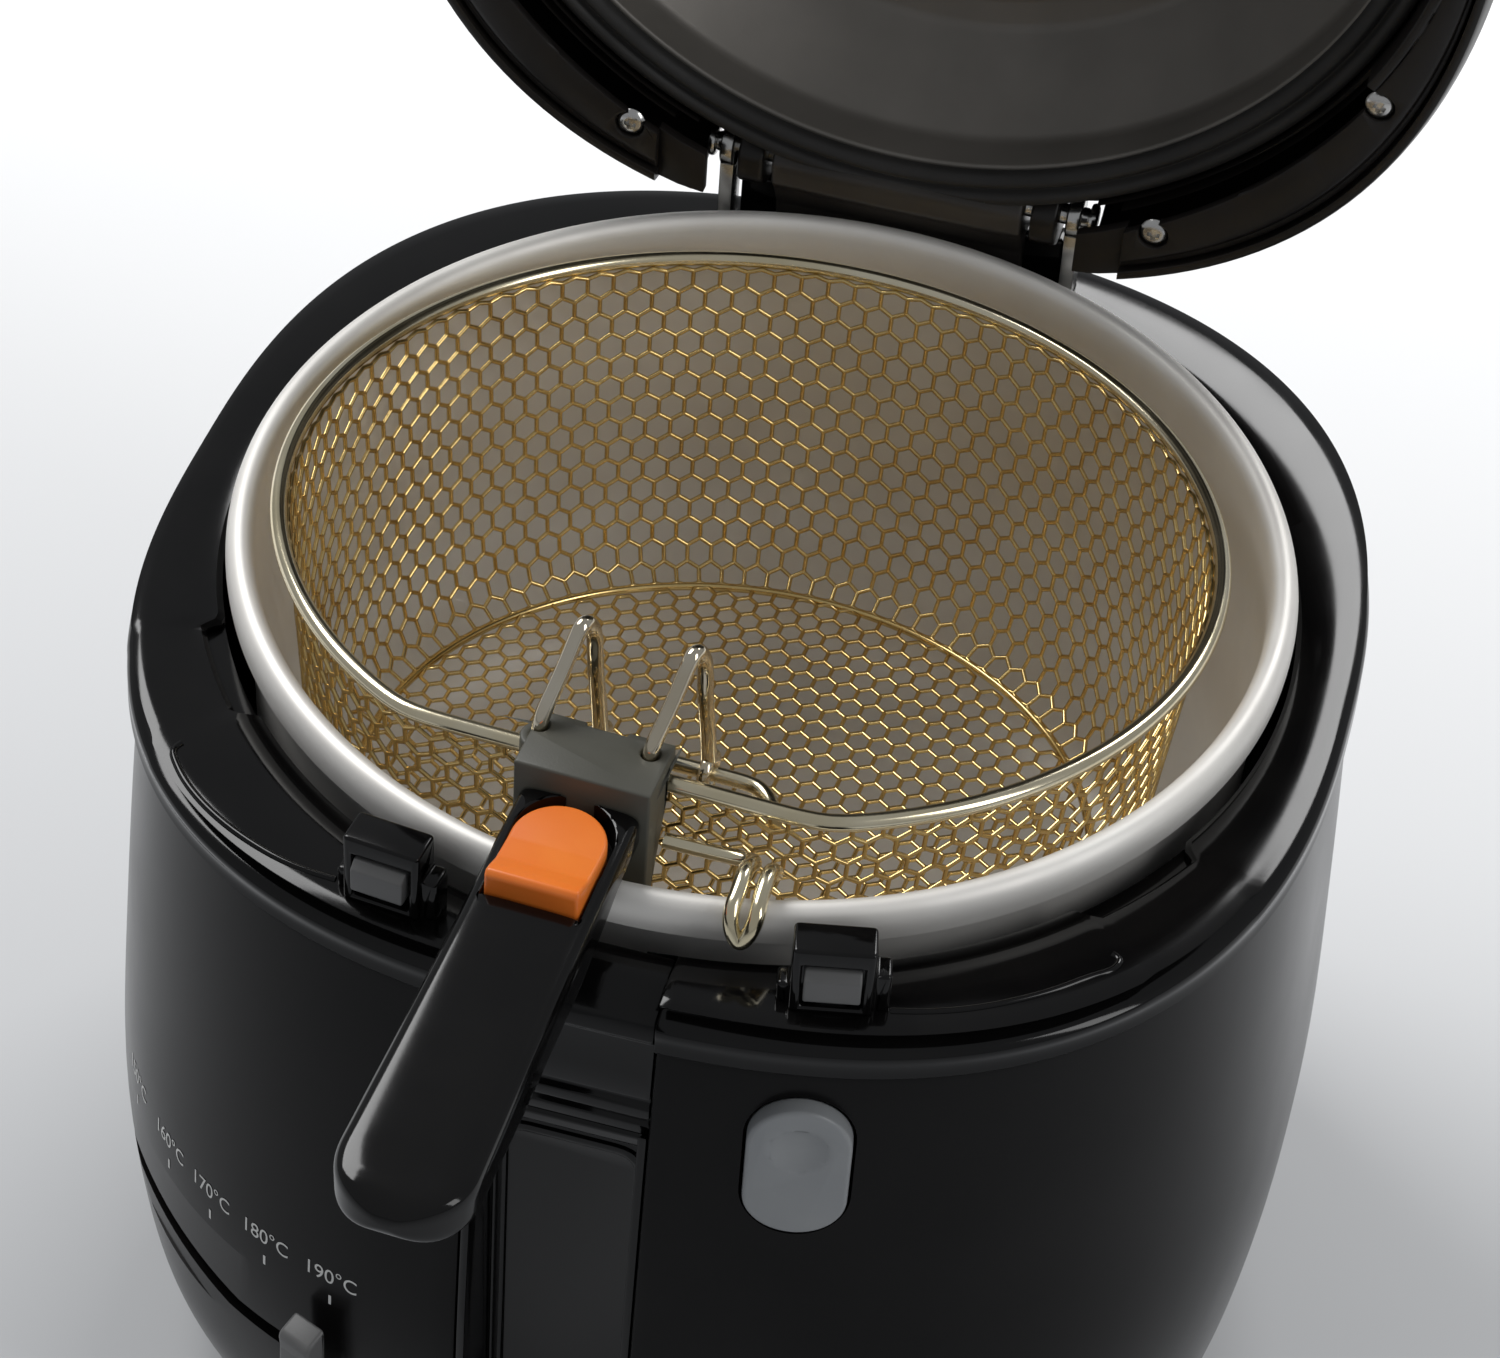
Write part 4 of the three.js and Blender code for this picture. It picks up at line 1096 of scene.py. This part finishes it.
def piercedTile(pitch, hole):  # a flat square with a round hole
    half = pitch / 2
    square = [
        (half, 0), (half, half), (0, half), (-half, half), (-half, 0), (-half, -half), (0, -half),
        (half, -half),
    ]
    rim = [(hole * math.cos(k * math.pi / 4), hole * math.sin(k * math.pi / 4)) for k in range(8)]
    faces = [(k, (k + 1) % 8, 8 + (k + 1) % 8, 8 + k) for k in range(8)]
    return plainObject("tile", [(x * 0.001, y * 0.001, 0) for x, y in square + rim], faces=faces)


def filterCover():
    look = filterLook
    hole, edge, face, top = look["open"], look["radius"], look["height"], look["top"]
    section = [
        (hole - 2.4, face - 0.5, 0.4), (hole, face - 1.0, 0.6), (edge - 1.4, face - 1.0, 1),
        (edge, face + 0.2, 0.8), (edge, top, 0), (hole - 2.4, top, 0),
    ]
    ring = turned(roundedOutline(section, 4), 160)
    boss = turned([(0, 41.6), (6.2, 41.6), (7.0, 42.2), (7.2, 44.4), (0, 44.4)], 64, False)
    rib = block((6.5, -1.3, face - 0.9), (hole - 1.6, 1.3, face + 0.6))
    ribs = [moved(rib, turnZ(angle)) for angle in look["ribs"]]
    rimPiece = rawObject("filterCoverRing", merged(ring, boss, *ribs), lidPlace)
    placed(rimPiece, "lid", "linerBlack", ["filter_cover"], 34)
    tile = piercedTile(look["pitch"], look["hole"])
    net = plainObject("filterCoverNet", [])
    sizes = {"Radius": (look["open"] - 0.4) * 0.001, "Pitch": look["pitch"] * 0.001}
    grown(net, netTree(), {"Tile": tile, **sizes, "Material": finishes["linerBlack"]})
    bpy.data.objects.remove(tile)
    lift = Matrix.Translation((0, 0, look["height"] * 0.001))
    net.data.transform(lidPlace @ Matrix.Scale(1000, 4) @ lift)
    step = net.modifiers.new("sheet", "SOLIDIFY")
    step.thickness, step.offset = look["thick"] * 0.001, 0
    placed(applied(net), "lid", "linerBlack")
    pad = rawObject("filterCartridge", turned(roundedOutline(look["pad"]), 96, False), lidPlace)
    placed(pad, "lid", "filterFelt", ["filter_cartridge"])


# Screws.
screwLook = {"radius": 3.5, "height": 1.5, "cross": 1.15, "anyTurn": 6.28}


def screwHead():  # a domed head with a cross recess, drawn facing -Z
    radius, height = screwLook["radius"], screwLook["height"]
    dome = [
        (0, -height), (radius * 0.35, -height * 0.97), (radius * 0.65, -height * 0.82),
        (radius * 0.88, -height * 0.5), (radius, 0), (radius * 0.98, 0.5), (radius * 0.6, 0.6), (0, 0.6),
    ]
    head = rawObject("screwHead", turned(dome, 28, False), toMetres)
    floor = -height + screwLook["cross"]
    wedge = [
        (-radius * 0.55, -height - 1), (radius * 0.55, -height - 1), (radius * 0.3, floor),
        (-radius * 0.3, floor),
    ]
    return carved(
        head, toMetres, [moved(prism(wedge, -0.6, 0.6, "Y"), turnZ(quarter)) for quarter in (0, 90)]
    )


def screws():
    head, anyTurn, upright = screwHead(), screwLook["anyTurn"], (math.radians(-90), 0, 0)
    spots = [tuple(lidPlace @ Vector((x, y, 0.4))) for x, y in lidLook["screws"]]
    lidRow = copiesAt("lidScrews", head, spots, upright, "steel", anyTurn, 5)
    placed(lidRow, "lid", "steel", ["lid_screw_%d" % k for k in range(1, 7)], 30)
    middle = [tuple(lidPlace @ Vector((0, 0, 41.5)))]
    filterScrew = copiesAt("filterScrew", head, middle, upright, "steel", anyTurn, 2)
    placed(filterScrew, "lid", "steel", ["filter_screw"], 30)
    boxes = [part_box("base_screw_%d" % k) for k in range(1, 5)]
    spots = [((a.x + b.x) / 2, (a.y + b.y) / 2, a.z + 0.0016) for a, b in boxes]
    baseRow = copiesAt("baseScrews", head, spots, (0, 0, 0), "steel", anyTurn, 8)
    placed(baseRow, "fryer_body", "steel", ["base_screw_%d" % k for k in range(1, 5)], 30)
    bpy.data.objects.remove(head)


def lidCatches():
    for side, spec in posts.items():
        place = lidPlace @ Matrix.Translation(spec["at"]) @ turnZ(spec["turn"])
        face = -postLook["depth"] / 2
        front, back = face - 2, face - 0.3
        outline = [(front, 12.3, 0.7), (back, 12.3, 0.3), (back, 21.2, 0.3), (front, 21.2, 0.3)]
        plate = rawObject("lidCatch" + side.title(), prism(roundedOutline(outline), -5, 5, "X"), place)
        placed(softened(plate, 0.25, 2), "lid", "steel", ["lid_catch_" + side], 36)


lidShell()
lidLiner()
lidSeal()
lidInnerPlate()
filterCover()
screws()
lidCatches()
print("lid made")

# Basket.
basketLook = {
    "radius": 105, "flat": 94.75, "rim": 1.9, "wire": 1.75,
    "net": 0.56, "columns": 98, "row": 5.7, "wave": 0.95,
    "side": [
        (102.9, -1.2), (101.2, -20), (98.9, -44), (96.4, -68), (94.4, -77), (91.6, -82.5), (86.5, -85.4)
    ],
    "floor": -85.6, "floorRadius": 86.5,
}


def basketReach(radius, angle):  # a circle with a flat front, blended at the two corners
    fromFront = abs(math.atan2(math.cos(angle), -math.sin(angle)))
    share = 1.0
    if fromFront < 1.35:
        chord = basketLook["flat"] / math.cos(fromFront) / basketLook["radius"]
        share = (1 + chord**-90) ** (-1 / 90)
    return radius * share


def basketNet():
    look = basketLook
    wall = smoothLine(look["side"], 200)
    run = np.concatenate([[0], np.cumsum(np.linalg.norm(np.diff(wall, axis=0), axis=1))])
    total, half = look["columns"] * 2, run[-1]
    rows = int(half / look["row"]) + 1
    step = half / (rows - 1)
    points, edges = [], []
    for j in range(rows):
        for i in range(total):
            v = min(max(j * step + (look["wave"] if (i + j) % 2 else -look["wave"]), 0), half)
            r, z = np.interp(v, run, wall[:, 0]), np.interp(v, run, wall[:, 1])
            a = 2 * math.pi * i / total
            r = basketReach(r, a)
            points.append((r * math.cos(a), r * math.sin(a), z))
            edges.append((j * total + i, j * total + (i + 1) % total))
            if j + 1 < rows and (i + j) % 2:
                edges.append((j * total + i, (j + 1) * total + i))
    # The floor is the same netting laid flat and trimmed round its edge.
    wide = 2 * math.pi * look["floorRadius"] / total
    reach = int(look["floorRadius"] / wide) + 1
    tall = int(look["floorRadius"] / look["row"]) + 1
    index = {}
    for j in range(-tall, tall + 1):
        for i in range(-reach, reach + 1):
            x, y = i * wide, j * look["row"] + (look["wave"] if (i + j) % 2 else -look["wave"])
            if math.hypot(x, y) < basketReach(look["floorRadius"], math.atan2(y, x)) + 0.4:
                index[i, j] = len(points)
                points.append((x, y, look["floor"]))
    for (i, j), k in index.items():
        if (i + 1, j) in index:
            edges.append((k, index[i + 1, j]))
        if (i + j) % 2 and (i, j + 1) in index:
            edges.append((k, index[i, j + 1]))
    net = plainObject("basketNet", [tuple(basketPlace @ Vector(p)) for p in points], edges)
    grown(net, wireNet, {"Radius": look["net"] * 0.001, "Sides": 6, "Material": finishes["goldWire"]})
    placed(net, "basket", "goldWire", ["basket_mesh"], 75)


def loopAt(radius, height, count=260):
    angles = np.linspace(0, 2 * math.pi, count, endpoint=False)
    reach = [basketReach(radius, a) for a in angles]
    return [(r * math.cos(a), r * math.sin(a), height) for r, a in zip(reach, angles)]


def wirePiece(name, shape, place, body, finish, nodes=()):
    return placed(rawObject(name, shape, place), body, finish, nodes, 60)


def basketWires():
    look = basketLook
    rim = tube(loopAt(look["radius"], 0), look["rim"], 16, True)
    belt = tube(loopAt(look["floorRadius"] + 0.3, look["floor"] - 0.2), 1.1, 10, True)
    wirePiece("basketRimWire", rim, basketPlace, "basket", "paleWire", ["basket_rim_wire"])
    wirePiece("basketFloorRing", belt, basketPlace, "basket", "goldWire")
    cross = [
        (-30, -11.4, 1.6), (-28, -6, 0.6), (-23, -0.6, 0), (-18, 0, 0), (0, 0, 0), (18, 0, 0),
        (23, -0.6, 0), (28, -6, 0.6), (30, -11.4, 1.6),
    ]
    bar = tube(smoothLine(cross, 90), look["wire"], 14)
    wirePiece("basketCrossWire", bar, handlePlace, "basket", "paleWire", ["basket_cross_wire"])
    hook = [
        (6, -100.2, 5), (20, -100.2, 5), (25.2, -101.6, 6.4), (25.6, -107, 10), (25.6, -114.5, 9.8),
        (25.7, -119.4, 6.4), (28, -120.4, 2.4), (30.3, -119.4, 6.4), (30.4, -114.5, 9.8), (30.4, -107, 10),
        (30.4, -102, 5),
    ]
    bent = tube(smoothLine(hook, 150), look["wire"], 14)
    wirePiece("basketHookWire", bent, rimPlace, "basket", "paleWire", ["basket_hook_wire"])


basketNet()
basketWires()
print("basket made")

# Handle.
handleLook = {"x": -6, "eye": 12, "wire": 1.75, "length": 138, "end": 14.5, "neck": 13, "bracketHalf": 14.7}
buttonLook = {"half": 10, "front": -33.6, "back": -59.6, "bottom": 6.7}


def hairpins():
    look = handleLook
    eyeRadius = look["wire"] + 0.6 + 1.5
    for side, sign in (("left", -1), ("right", 1)):
        x = sign * look["eye"]
        legs = [
            (x - 7.4, -17.8, 15.2), (x - 7.4, -17.8, 19), (x - 6.3, -14.4, 24.4), (x - 4.3, -6.9, 33.2),
            (x - 3.4, -3.6, 35.9), (x - 2.6, -1.2, 33.4), (x - 1.7, -0.9, 26), (x - 0.5, -0.7, 12),
            (x, -0.3, eyeRadius + 0.4),
        ]
        eye = [
            (x, eyeRadius * math.sin(t), eyeRadius * math.cos(t))
            for t in np.linspace(0, 2 * math.pi, 40, endpoint=False)
        ]
        shape = merged(tube(smoothLine(legs, 120), look["wire"], 14), tube(eye, 1.5, 12, True))
        wirePiece("hairpin" + side.title(), shape, handlePlace, "handle", "chromeWire", ["hairpin_" + side])


def bracket():
    look = handleLook
    low, high = look["x"] - look["bracketHalf"], look["x"] + look["bracketHalf"]
    profile = [
        (-13.6, 14.6, 0), (-13.6, 19, 0), (-30, 19, 0), (-30, -13, 2), (-28, -17.5, 2), (-25.6, -20, 0),
        (-25.6, 12, 0), (-23, 14.6, 0),
    ]
    piece = rawObject("handleBracket", prism(roundedOutline(profile), low, high, "X"), handlePlace)
    ribs = []
    for x0, x1, reach in (
        (low, low + 2.2, -19.5), (high - 2.2, high, -19.5), (look["x"] - 1.1, look["x"] + 1.1, -21.5)
    ):
        ribs.append(prism([(-27, -14), (reach, 4), (reach, 15.5), (-27, 15.5)], x0, x1, "X"))
    for sign in (-1, 1):
        spot = Matrix.Translation((sign * look["eye"] - 7.4, -17.8, 0))
        ribs.append(moved(turned([(0, 8.6), (4.0, 8.6), (4.2, 9), (4.2, 16), (0, 16)], 28, False), spot))
    carved(piece, handlePlace, ribs, "UNION")
    bore = look["wire"] + 0.35
    drill = turned([(0, 0), (bore, 0), (bore, 26), (0, 26)], 24, False)
    cuts = [moved(drill, Matrix.Translation((sign * look["eye"] - 7.4, -17.8, 0))) for sign in (-1, 1)]
    cuts.append(block((look["x"] - 4.4, -14.6, 12), (look["x"] + 4.4, -12, 22)))
    cuts += [block((x - 1.6, -28.4, -12), (x + 1.6, -24, 3)) for x in (low + 7, high - 7)]
    carved(piece, handlePlace, cuts)
    placed(softened(piece, 0.6, 3, 40), "handle", "bracketOlive", ["handle_bracket"], 36)


def gripStation(y):  # half-width, low and high edge of the grip at a place along it
    look = handleLook
    far, end = -look["length"], look["end"]
    along = np.interp(y, [far + end, -30.3], [end, look["neck"]])
    low = np.interp(y, [far, -132, -100, -66, -50, -44, -30.3], [-4.6, -5.2, -6, -4.6, 0.2, 2.6, 3.4])
    high = np.interp(y, [far, -131, -70, -30.3], [5.4, 6.4, 11, 13.4])
    tip = min(max((far + end - y) / end, 0), 1)
    thin = max((tip - 0.66) / 0.34, 0)
    half, squeeze = along * math.sqrt(max(1 - tip**2.3, 0)), math.sqrt(max(1 - thin**2, 0))
    middle, reach = (low + high) / 2, (high - low) / 2 * squeeze
    return half, middle - reach, middle + reach


def grip():
    look = handleLook
    far, end = -look["length"], look["end"]
    spots = [
        *np.linspace(-30.3, far + end, 36),
        *[far + end - end * math.sin(t) for t in np.linspace(0, math.pi / 2, 22)[1:-1]],
    ]
    around = [2 * math.pi * (k + 0.5) / 72 for k in range(72)]
    points = []
    for y in spots:
        half, low, high = gripStation(y)
        for a in around:
            c, s = math.cos(a), math.sin(a)
            across, up = math.copysign(abs(c) ** 0.36, c), math.copysign(abs(s) ** 0.42, s)
            points.append((look["x"] + half * across, y, (low + high) / 2 + (high - low) / 2 * up))
    count = len(around)
    faces = gridFaces(len(spots), count, False)
    faces += [tuple(range(count))[::-1], tuple(range(count * (len(spots) - 1), count * len(spots)))]
    piece = rawObject("handleGrip", (points, faces), handlePlace)
    x, half, turnAt = look["x"], buttonLook["half"] + 0.6, buttonLook["front"] - 6.9
    pocket = [(x + half, buttonLook["back"] - 0.5), (x + half, turnAt)]
    pocket += [
        (x + half * math.cos(t), turnAt + half * math.sin(t)) for t in np.linspace(0.1, math.pi - 0.1, 20)
    ]
    pocket += [(x - half, turnAt), (x - half, buttonLook["back"] - 0.5)]
    carved(piece, handlePlace, [prism(pocket, 6.2, 24)])
    placed(softened(piece, 0.45, 2, 62, 0.03), "handle", "glossBlack", ["handle_grip"], 40)


def lockButton():
    x, r = handleLook["x"], buttonLook["half"]
    front, back = buttonLook["front"], buttonLook["back"]
    arc = [
        (x + r * math.cos(t), front - r + r * math.sin(t)) for t in np.linspace(0.08, math.pi - 0.08, 26)
    ]
    plan = [(x + r, back), (x + r, front - r), *arc, (x - r, front - r), (x - r, back)]
    piece = rawObject("handleButton", prism(plan, buttonLook["bottom"], 30), handlePlace)
    side = roundedOutline(
        [
            (back, 6.4, 0), (back, 16.0, 0), (back + 1.2, 17.0, 1), (back + 3.4, 16.4, 2),
            (back + 7, 14.8, 4), (-46, 14.2, 8), (front, 14.6, 0), (front, 6.4, 0),
        ],
        5,
    )
    carved(piece, handlePlace, [prism(side, x - 20, x + 20, "X")], "INTERSECT")
    placed(softened(piece, 0.9, 4, 36), "lock_button", "orange", ["handle_button"], 34)


hairpins()
bracket()
grip()
lockButton()
print("handle made")


# Underside and cord gland.
def footCopies():
    outline = roundedOutline(
        [
            (0, 0.35, 0), (6.6, 0.35, 0.5), (6.9, 0, 0.2), (8, 0, 0.8), (9.5, 1.5, 1.2), (10, 6, 0),
            (0, 6, 0),
        ],
        4,
    )
    foot = rawObject("foot", turned(outline, 40, False), toMetres)
    boxes = [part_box("foot_%d" % k) for k in range(1, 5)]
    spots = [((a.x + b.x) / 2, (a.y + b.y) / 2, a.z) for a, b in boxes]
    row = copiesAt("feet", foot, spots, (0, 0, 0), "rubberBlack")
    placed(row, "fryer_body", "rubberBlack", ["foot_%d" % k for k in range(1, 5)], 34)
    bpy.data.objects.remove(foot)


def basePan():
    z = (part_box("base_pan")[0].z - rimPlace.translation.z) * 1000
    rows = [
        (0, z), (60, z), (97, z), (101.5, z + 0.6), (102.2, z + 2.5), (102.2, z + 6), (99.5, z + 6),
        (99.5, z + 3), (0, z + 3),
    ]
    pan = rawObject("basePan", turned(rows, 160, False, planReach), rimPlace)
    vent = prism(pillOutline(5.5, 62, 8), z - 3, z + 12)
    vents = [moved(vent, Matrix.Translation((x, 0, 0))) for x in range(-40, 41, 16)]
    carved(pan, rimPlace, vents)
    placed(softened(pan, 0.5, 2, 40), "fryer_body", "linerBlack", ["base_pan"], 34)


def cordGland():
    low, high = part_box("cord_gland")
    middle, radius = (low + high) / 2, (high.z - low.z) * 500
    profile = [
        (3.4, 0), (8.5, 0), (8.5, 6.8), (radius, 7.2), (radius, 9.4), (radius - 1.2, 10.4), (7.6, 11),
        (7.0, 12.2), (6.6, 15), (3.4, 15), (3.4, 4),
    ]
    stretch = (high.y * 1000 - low.y * 1000) / 15
    shape = turned([(r, z * stretch) for r, z in profile], 64)
    place = Matrix.Translation((middle.x, low.y, middle.z)) @ turnX(-90) @ toMetres
    gland = rawObject("cordGland", shape, place)
    placed(softened(gland, 0.4, 2, 40), "fryer_body", "rubberBlack", ["cord_gland"], 34)


footCopies()
basePan()
cordGland()
print("underside made")

# Floor, lights and camera.
stageLook = {
    "sky": (0.80, 0.82, 0.85), "skyStrength": 0.36,
    "floor": [(-9, -6, 0), (9, -6, 0), (9, 12, 0), (-9, 12, 0)],
    # The floor's colour runs from darker at the front to pale behind: painted shade and light in place of the
    # lamps' falloff.
    "front": (0.47, 0.48, 0.495), "behind": (0.95, 0.95, 0.95), "paintedFalloff": (-0.25, 0.75),
}
# Each light: where it hangs, what it faces, its width and height, and its power in watts.
lightLook = {
    "keyLight": ((-1.3, 0.6, 1.9), (0, 0, 0.2), (1.1, 1.1), 34),
    "fillLight": ((1.7, -0.5, 1.3), (0, 0, 0.15), (0.5, 1.4), 10),
    "backLight": ((0.4, 1.7, 1.7), (0, 0, 0.2), (1.5, 0.6), 26),
}
# Angles in degrees. The shifts are metres from the bowl's rim: back along the view, sideways and up.
cameraLook = {
    "turn": 12.58, "rise": 42.98, "roll": 4.46, "shifts": (0.93844, -0.00315, -0.02941), "sensor": 36,
    "lens": 100.8,
}


def floorSheet():
    floor = plainObject("floor", stageLook["floor"], faces=[(0, 1, 2, 3)])
    material = bpy.data.materials.new("paleFloor")
    material.use_nodes = True
    nodes, links = material.node_tree.nodes, material.node_tree.links
    shader = nodes["Principled BSDF"]
    shader.inputs["Roughness"].default_value = 0.75
    shader.inputs["Specular IOR Level"].default_value = 0.2
    place, split, spread, ramp = (
        nodes.new(kind) for kind in (
            "ShaderNodeTexCoord", "ShaderNodeSeparateXYZ", "ShaderNodeMapRange", "ShaderNodeValToRGB"
        )
    )
    # Painted shade: the floor's colour darkens towards the front along Y.
    links.new(place.outputs["Object"], split.inputs["Vector"])
    links.new(split.outputs["Y"], spread.inputs["Value"])
    spread.inputs["From Min"].default_value, spread.inputs["From Max"].default_value = stageLook["paintedFalloff"]
    for element, colour in zip(ramp.color_ramp.elements, (stageLook["front"], stageLook["behind"])):
        element.color = (*colour, 1)
    links.new(spread.outputs["Result"], ramp.inputs["Fac"])
    links.new(ramp.outputs["Color"], shader.inputs["Base Color"])
    floor.data.materials.append(material)


def softLight(name, at, towards, size, power):
    data = bpy.data.lights.new(name, "AREA")
    data.shape, data.size, data.size_y, data.energy = "RECTANGLE", size[0], size[1], power
    light = linked(name, data)
    light.location, light.rotation_mode = at, "QUATERNION"
    light.rotation_quaternion = (Vector(towards) - Vector(at)).to_track_quat("-Z", "Y")


def lights():
    world = bpy.data.worlds.new("studio")
    bpy.context.scene.world = world
    world.use_nodes = True
    back = world.node_tree.nodes["Background"]
    back.inputs["Color"].default_value = (*stageLook["sky"], 1)
    back.inputs["Strength"].default_value = stageLook["skyStrength"]
    for name, values in lightLook.items():
        softLight(name, *values)
    bpy.context.scene.view_settings.view_transform = "Standard"


def camera():
    turn, rise, roll = (math.radians(cameraLook[name]) for name in ("turn", "rise", "roll"))
    away, across, up = cameraLook["shifts"]
    back = Vector((math.sin(turn) * math.cos(rise), -math.cos(turn) * math.cos(rise), math.sin(rise)))
    right = Vector((math.cos(turn), math.sin(turn), 0))
    top = back.cross(right)
    side = right * math.cos(roll) + top * math.sin(roll)
    over = top * math.cos(roll) - right * math.sin(roll)
    data = bpy.data.cameras.new("camera")
    data.sensor_width, data.lens = cameraLook["sensor"], cameraLook["lens"]
    data.clip_start, data.clip_end = 0.02, 60
    obj = linked("camera", data)
    spot = rimPlace.translation + back * away + side * across + over * up
    rows = zip(side, over, back, spot)
    obj.matrix_world = Matrix([*rows, (0, 0, 0, 1)])
    bpy.context.scene.camera = obj


floorSheet()
lights()
camera()
